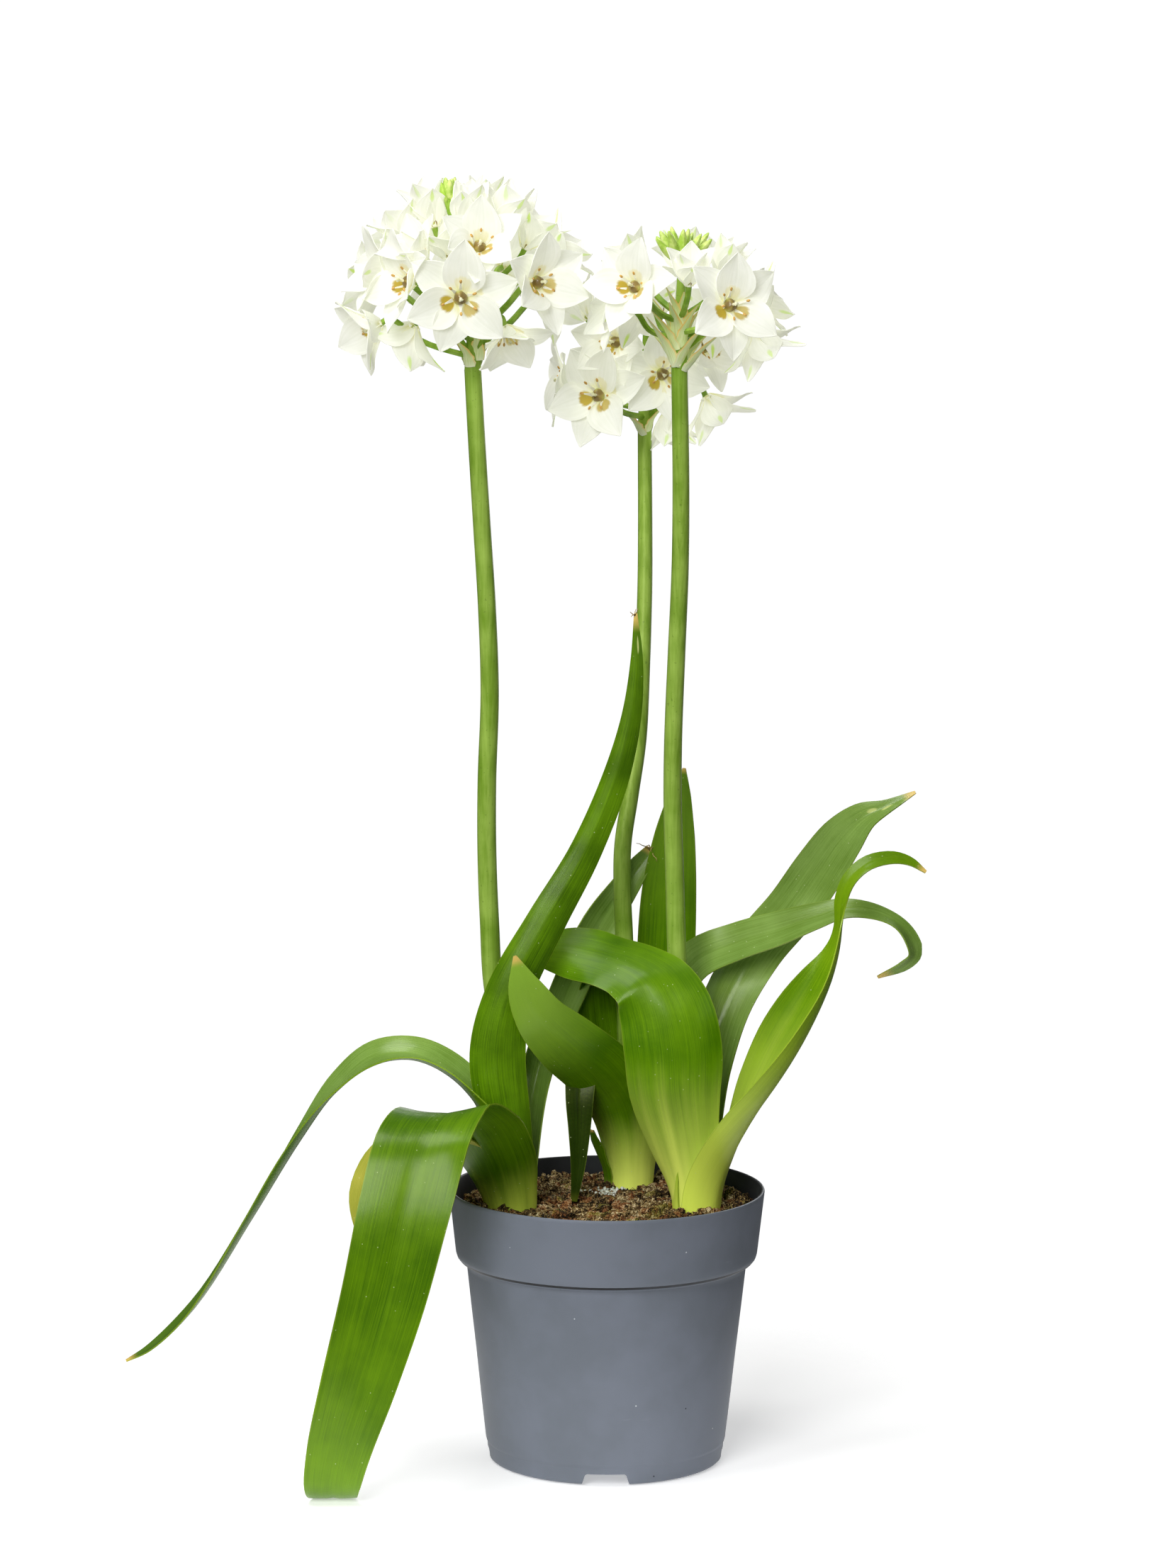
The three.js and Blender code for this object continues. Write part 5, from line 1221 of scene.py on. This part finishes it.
# %% Flowers of each head
HEADS = {
    "left": {
        "top": (-8.5, -8, 63), "buds": 7, "bud_reach": 8, "bud_spread": 0.4, "flowers": [
            (-4, -28, 27.5, 0.06, -1, -0.08, 22, 12, -11), (22.5, -20, 32.5, 0.62, -0.75, 0.1, 21, 24, 8),
            (2.5, -19, 44.5, 0.12, -0.86, 0.45, 20, 30, -6), (-1.5, -13, 51.5, 0, -0.3, 0.95, 19, 62, 0),
            (2.5, 2, 52, 0.12, 0, 1, 20, 63, 20), (-14, -5, 52, -0.2, -0.15, 0.95, 19, 60, 12),
            (-17, -14, 39, -0.55, -0.45, 0.7, 19, 50, 30), (-21, -18, 32, -0.82, -0.52, 0.2, 21, 30, 5),
            (-30, -5, 35, -0.85, -0.25, 0.3, 20, 34, 24), (-22, -1, 46, -0.55, 0, 0.84, 19, 46, 10),
            (-33.5, -12, 17, -0.84, -0.36, -0.4, 20, 32, -15), (-21, -9, 16.5, -0.5, 0.12, -0.86, 20, 36, 0),
            (-9, -7, 41, -0.3, -0.4, 0.87, 20, 50, 18), (12, -13, 16, 0.3, -0.45, -0.84, 19, 32, 4),
            (12, -8, 50, 0.2, -0.2, 0.95, 20, 58, 25),
            (19, -1, 44, 0.5, -0.1, 0.86, 19, 48, 5), (26, 4, 40, 0.78, 0, 0.6, 20, 40, 14),
            (-33, 18, 29, -0.9, 0.45, 0.1, 19, 28, 0), (24, 18, 24, 0.85, 0.6, 0.1, 19, 26, 9),
            (-8, 32, 28, -0.3, 1, 0.1, 19, 20, 0), (10, 27, 36, 0.4, 0.9, 0.25, 19, 24, 20),
            (-4, 20, 48, 0, 0.55, 0.84, 19, 46, 0), (-22, 17, 42, -0.7, 0.5, 0.5, 19, 40, 17)],
        "bracts": [(-2, -2.6, 0.5, -5.6, -6, 10.6, 7), (1.6, -2.6, 3, 1.2, -6, 13.5, 6),
                   (-2.5, 2, 1, -7, 6, 11, 6), (2.6, 1.5, 1, 7, 5, 11, 6)]},
    "right": {
        "top": (0.5, 0, 41), "buds": 15, "bud_reach": 12, "bud_spread": 1.25, "flowers": [
            (17, -24, 22.5, 0.42, -0.88, 0.16, 21, 16, -6), (-16, -20, 28.5, -0.42, -0.86, 0.28, 20, 30, -15),
            (3, -15, 29.5, 0.05, -0.5, 0.87, 16.5, 57, 0), (15.5, 4, 31, 0.25, 0, 0.97, 17, 56, 0),
            (24, 6, 21, 0.93, 0.05, 0.36, 20, 44, 12), (27, -6, 13, 0.52, 0.1, -0.84, 20, 34, 30),
            (-20, -5, 19.5, -0.93, -0.3, 0.1, 18, 34, 20), (-14, 8, 33, -0.55, 0.3, 0.78, 17, 50, 9),
            (11, 24, 17, 0.5, 0.85, 0, 18, 24, 0), (-12, 20, 20, -0.6, 0.8, 0.1, 18, 24, 11),
            (2, 18, 33, 0, 0.75, 0.65, 18, 46, 25)],
        "bracts": [(-2, -2.4, 5, -11.3, -7, 20.7, 6.5), (-2.4, -2.4, -1.3, -12.4, -9, 17.7, 7),
                   (-0.6, -2.6, 13, -5.4, -6, 28.8, 6), (0.7, -2.6, 11.6, 1.4, -7, 26.8, 6),
                   (0.2, -3, -1.3, 10.1, -8, 15.9, 7.5), (2.6, -2, -3, 17.2, -7, 13.5, 7),
                   (2, -2, 11.6, 6.7, -7, 22.1, 5.5), (2.6, 1.5, 0, 15, 6, 15, 6),
                   (-2.6, 1.5, 0, -14, 7, 15, 6), (0.3, 2.8, 0, 2, 12, 17, 6),
                   (2.2, 0.5, 9, 12, 2, 25, 5), (-2.2, 0.5, 9, -12, 4, 26, 5),
                   (-1, -2.4, 8, -4, -8, 23, 6), (1, -2.4, 6, 5, -8, 20, 6)]},
    "middle": {
        "top": (0.5, 0, 44), "buds": 6, "bud_reach": 10, "bud_spread": 0.6, "flowers": [
            (-17, -28.5, 14.5, -0.4, -0.9, 0.12, 21, 20, -19), (6, -27, 23, 0.15, -0.97, -0.05, 20, 20, 9),
            (-10.5, -25, 34.5, -0.4, -0.86, 0.1, 19, 28, 22), (21, -16, 32, 0.6, -0.7, 0.2, 19, 26, 0),
            (-22, -4, 42, -0.55, 0, 0.83, 18, 50, 0), (-28, 0, 18.5, -0.97, -0.18, 0.05, 19, 26, 8),
            (23, -8, 13.5, 0.52, 0.08, -0.85, 20, 34, 30), (9, -3, 8, 0.15, -0.1, -0.97, 18, 46, 15),
            (6, 5, 44, 0.2, 0.2, 0.95, 17, 54, 0), (-13, 23, 20, -0.5, 0.85, 0.1, 19, 24, 0),
            (13, 22, 26, 0.45, 0.85, 0.2, 18, 26, 13)],
        "bracts": [(-1.5, -2, -2.5, -9.4, -6, 8.5, 7), (1.8, -1.8, -1, 6.8, -5, 9, 5),
                   (0.5, 2.5, -1, 1, 8, 10, 6)]},
}
print("flowers", {name: len(head["flowers"]) for name, head in HEADS.items()})

# %% [markdown]
# A flower is put in its place by one matrix, which turns its axis to the way it faces. A bract is
# a small leaf, so it comes from the same helper as the leaves. A bud is a sphere drawn out to a
# point, with three faint ribs. A pedicel leaves the rachis below its flower and sags a little; one
# that carries a hanging flower goes up first and then bends over.

# %% Flowers, bracts, buds and pedicels
PEDICEL_STEPS = 14
RACHIS_SUNK = 1.2


def flower_place(centre, facing, roll, size):
    upward = Vector((0, 0, 1)) if abs(facing.z) < 0.95 else Vector((0, 1, 0))
    across = upward.cross(facing).normalized()
    turned = Matrix((across, facing.cross(across), facing)).transposed().to_4x4()
    rolled = Matrix.Rotation(roll, 4, "Z") @ Matrix.Scale(size, 4)
    return Matrix.Translation(centre) @ turned @ rolled


def copied(mesh, matrix):
    own = mesh.copy()
    own.transform(matrix)
    part = bpy.data.objects.new("part", own)
    bpy.context.scene.collection.objects.link(part)
    return part


def bract(start, end, out, wide, seed):
    middle = start.lerp(end, 0.5) + out * 1.2
    side = (end - start).cross(out).normalized()
    stations = [(*start, wide, 60, *side), (*start.lerp(middle, 0.5), wide * 1.1, 52, *side),
                (*middle, wide * 0.85, 40, *side), (*end, 0.4, 12, *side)]
    leaf = shaped_blade("bract", stations, columns=6, rows=12, wave=0.8, groove=0.1, seed=seed)
    return dress(leaf, FLOWER_FINISHES["bract"])


def bud(start, along, length, wide):
    bpy.ops.mesh.primitive_uv_sphere_add(segments=10, ring_count=8, radius=1)
    shape = bpy.context.object
    across = along.orthogonal().normalized()
    turned = Matrix((across, along.cross(across), along)).transposed()
    for vertex in shape.data.vertices:
        up = (vertex.co.z + 1) / 2
        taper = (1.08 - 0.55 * up) * (1 + 0.08 * lobe(vertex.co)) * wide
        spot = turned @ Vector((vertex.co.x * taper, vertex.co.y * taper, up * length))
        vertex.co = place(*(start + spot))
    return dress(shape, FLOWER_FINISHES["bud"])


def pedicel(spine, base, height, offset, facing):
    x, y, z = offset
    centre, start = base + Vector(offset), max(2, z * 0.72 - 6)
    begin = spine(min(0.95, (start + RACHIS_SUNK) / (height + RACHIS_SUNK)))
    sag = -1.5 if facing.z > -0.5 else (z - start) / 2 + 2
    lean = begin - base
    bend = base + Vector((x * 0.55 + lean.x * 0.4, y * 0.55 + lean.y * 0.4, (start + z) / 2 + sag))
    line = route([begin, bend, centre - facing * 4, centre + facing * 0.4])
    radii = walk(lambda t: 1.25 - 0.2 * t + 0.9 * max(0, t - 0.8), PEDICEL_STEPS)
    return walk(line, PEDICEL_STEPS), radii


print("tepal lengths", sorted({row[6] for head in HEADS.values() for row in head["flowers"]}))

# %% [markdown]
# Each head is built from its rows. The closeness of a flower picks the form that is nearest, with
# a little chance in it, so that neighbours differ. The buds stand round the top at steps of 2.4
# radians, which spreads them evenly, as seeds stand in a sunflower. Pedicels and bud stems are one
# piece, and so is each kind of flower part.

# %% Flowers, bracts and buds of one head
BUD_TURN, BUD_LIFT, BUD_ROOT = 2.4, 1.15, Vector((0, 0, 6))


def placed_flowers(head, base, spine, luck):
    parts, stems = {kind: [] for kind in ("star", *HEART_KINDS)}, []
    for x, y, z, *facing, length, rise, turn in head["flowers"]:
        facing = Vector(facing).normalized()
        form = min(range(len(FORMS)), key=lambda k: abs(FORM_RISES[k] - rise + luck.uniform(-2, 2)))
        centre, size = base + Vector((x, y, z)), (length - 0.6) / TEPAL_LENGTH
        spot = flower_place(place(*centre), facing, math.radians(turn), size)
        for kind, mesh in FORMS[form].items():
            parts[kind].append(copied(mesh, spot))
        stems.append(pedicel(spine, base, head["top"][2], (x, y, z), facing))
    return parts, stems


def placed_bracts(head, base):
    bracts = []
    for number, row in enumerate(head["bracts"]):
        begin, tip = base + Vector(row[:3]), base + Vector(row[3:6])
        inward = -Vector((tip.x - begin.x, tip.y - begin.y, 0)).normalized()
        bracts.append(bract(begin, tip, inward, row[6], number))
    return bracts


def placed_buds(head, top, luck):
    buds, stems = [], []
    for number in range(head["buds"]):
        turn, ring = number * BUD_TURN, head["bud_spread"] * math.sqrt((number + 0.4) / head["buds"])
        along = Vector((ring * math.cos(turn), ring * math.sin(turn), BUD_LIFT)).normalized()
        begin = top - BUD_ROOT + along * luck.uniform(4.0, 6.0)
        stems.append(([top - BUD_ROOT, begin + along], [0.8, 0.8]))
        length = head["bud_reach"] * luck.uniform(0.85, 1.1)
        buds.append(bud(begin, along, length, luck.uniform(1.7, 2.2)))
    return buds, stems


print("buds", {name: head["buds"] for name, head in HEADS.items()})

# %% Build the heads
RACHIS_STEPS, RACHIS_TIP = 16, 1.2


def build_head(name, head, luck):
    base = Vector(STALKS[name][-1]) + Vector((0, 0, 0.5))
    top, wide = base + Vector(head["top"]), STALK_RADII[name][1]
    foot_spots = [base - Vector((0, 0, RACHIS_SUNK)), base + Vector((0, 0, 14))]
    spine = route([*foot_spots, base.lerp(top, 0.6), top])
    radii = walk(lambda t: wide - (wide - RACHIS_TIP) * t, RACHIS_STEPS)
    rachis = rods(f"{name}_head_rachis", [(walk(spine, RACHIS_STEPS), radii)], 4)
    settle(dress(rachis, stalk_green), "stalk")
    parts, pedicels = placed_flowers(head, base, spine, luck)
    bracts = placed_bracts(head, base)
    buds, bud_stems = placed_buds(head, top, luck)
    stems = rods(f"{name}_head_stems", pedicels + bud_stems, 1)
    settle(dress(stems, FLOWER_FINISHES["pedicel"]), "stalk")
    settle(joined(f"{name}_head_bracts", bracts), "stalk")
    settle(joined(f"{name}_head_buds", buds), "stalk")
    settle(joined(f"{name}_head_tepals", parts["star"]), "petal", f"{name}_head")
    for kind in HEART_KINDS:
        settle(joined(f"{name}_head_{kind}s", parts[kind]), "petal")


for order, (name, head) in enumerate(HEADS.items()):
    build_head(name, head, random.Random(70 + order))

# %% [markdown]
# ## Camera
# The photograph was taken from a little above, far enough away that the pot is hardly drawn out.
# The camera's place, tilt and lens were worked out from the pot's rings. Its place is in
# millimetres from the pot's axis, and the lens is the photograph's focal length in pixels, turned
# into millimetres by the height of the sensor.

# %% Camera
EYE, TILT, ROLL = (-8, -2000, 533), 7.8, 0.31
FOCAL_PIXELS, PHOTO_HEIGHT, SENSOR_HEIGHT = 7575, 2212, 36
eye = AXIS + metres(*EYE)
bpy.ops.object.camera_add(location=eye)
camera = bpy.context.object
camera.data.sensor_fit = "VERTICAL"
camera.data.sensor_height = SENSOR_HEIGHT
camera.data.lens = FOCAL_PIXELS * SENSOR_HEIGHT / PHOTO_HEIGHT
turned = Matrix.Rotation(math.radians(90 - TILT), 4, "X") @ Matrix.Rotation(math.radians(ROLL), 4, "Z")
camera.matrix_world = Matrix.Translation(eye) @ turned
bpy.context.scene.camera = camera
print("lens", round(camera.data.lens, 1))

# %% [markdown]
# ## Floor and light
# The floor is a plain white sheet that fades into the white behind it. The camera sees a bright
# world, but the world lights the plant only a little: a light path node tells the two apart. The
# light is a broad soft one from the front left and above, with a weaker fill from the right and
# one from the top. A wide weak lamp behind keeps the plant's back from going black when it is seen
# from there.

# %% Floor, world and lights
bpy.ops.mesh.primitive_plane_add(size=0.8, location=(0, 0, -0.0004))
floor = bpy.context.object
floor.name = "studio_floor"
sweep = Finish("studio_white", Base_Color=(0.9, 0.9, 0.9, 1), Roughness=0.9,
               Emission_Color=(1, 1, 1, 1), Emission_Strength=0.4)
away = sweep.node("ShaderNodeVectorMath", [sweep.body()], output="Value", operation="LENGTH")
dress(floor, sweep.set(Alpha=sweep.fade(away, 0.29, 0.14)))

SEEN_WORLD, LIGHTING_WORLD = 1.3, 0.11
world = bpy.data.worlds.new("studio")
bpy.context.scene.world = world
world.use_nodes = True
nodes, links = world.node_tree.nodes, world.node_tree.links
nodes.clear()
path = nodes.new("ShaderNodeLightPath")
both = nodes.new("ShaderNodeMixShader")
out = nodes.new("ShaderNodeOutputWorld")
links.new(path.outputs["Is Camera Ray"], both.inputs[0])
for socket, strength in ((1, LIGHTING_WORLD), (2, SEEN_WORLD)):
    white = nodes.new("ShaderNodeBackground")
    white.inputs["Strength"].default_value = strength
    links.new(white.outputs[0], both.inputs[socket])
links.new(both.outputs[0], out.inputs[0])


def lamp(name, spot, target_height, size, power):
    bpy.ops.object.light_add(type="AREA", location=spot)
    light = bpy.context.object
    light.name = name
    light.data.size = size
    light.data.energy = power
    ahead = Vector((0, 0, target_height)) - Vector(spot)
    light.matrix_world = Matrix.Translation(spot) @ ahead.to_track_quat("-Z", "Y").to_matrix().to_4x4()


lamp("key_light", (-0.5, -1.6, 1.05), target_height=0.22, size=0.9, power=27)
lamp("fill_light", (1.0, -1.4, 0.7), target_height=0.2, size=0.9, power=2)
lamp("top_light", (-0.45, -0.3, 1.6), target_height=0.2, size=0.7, power=13)
lamp("back_light", (0.6, 1.6, 0.75), target_height=0.2, size=1.4, power=12)
bpy.context.scene.view_settings.view_transform = "Standard"
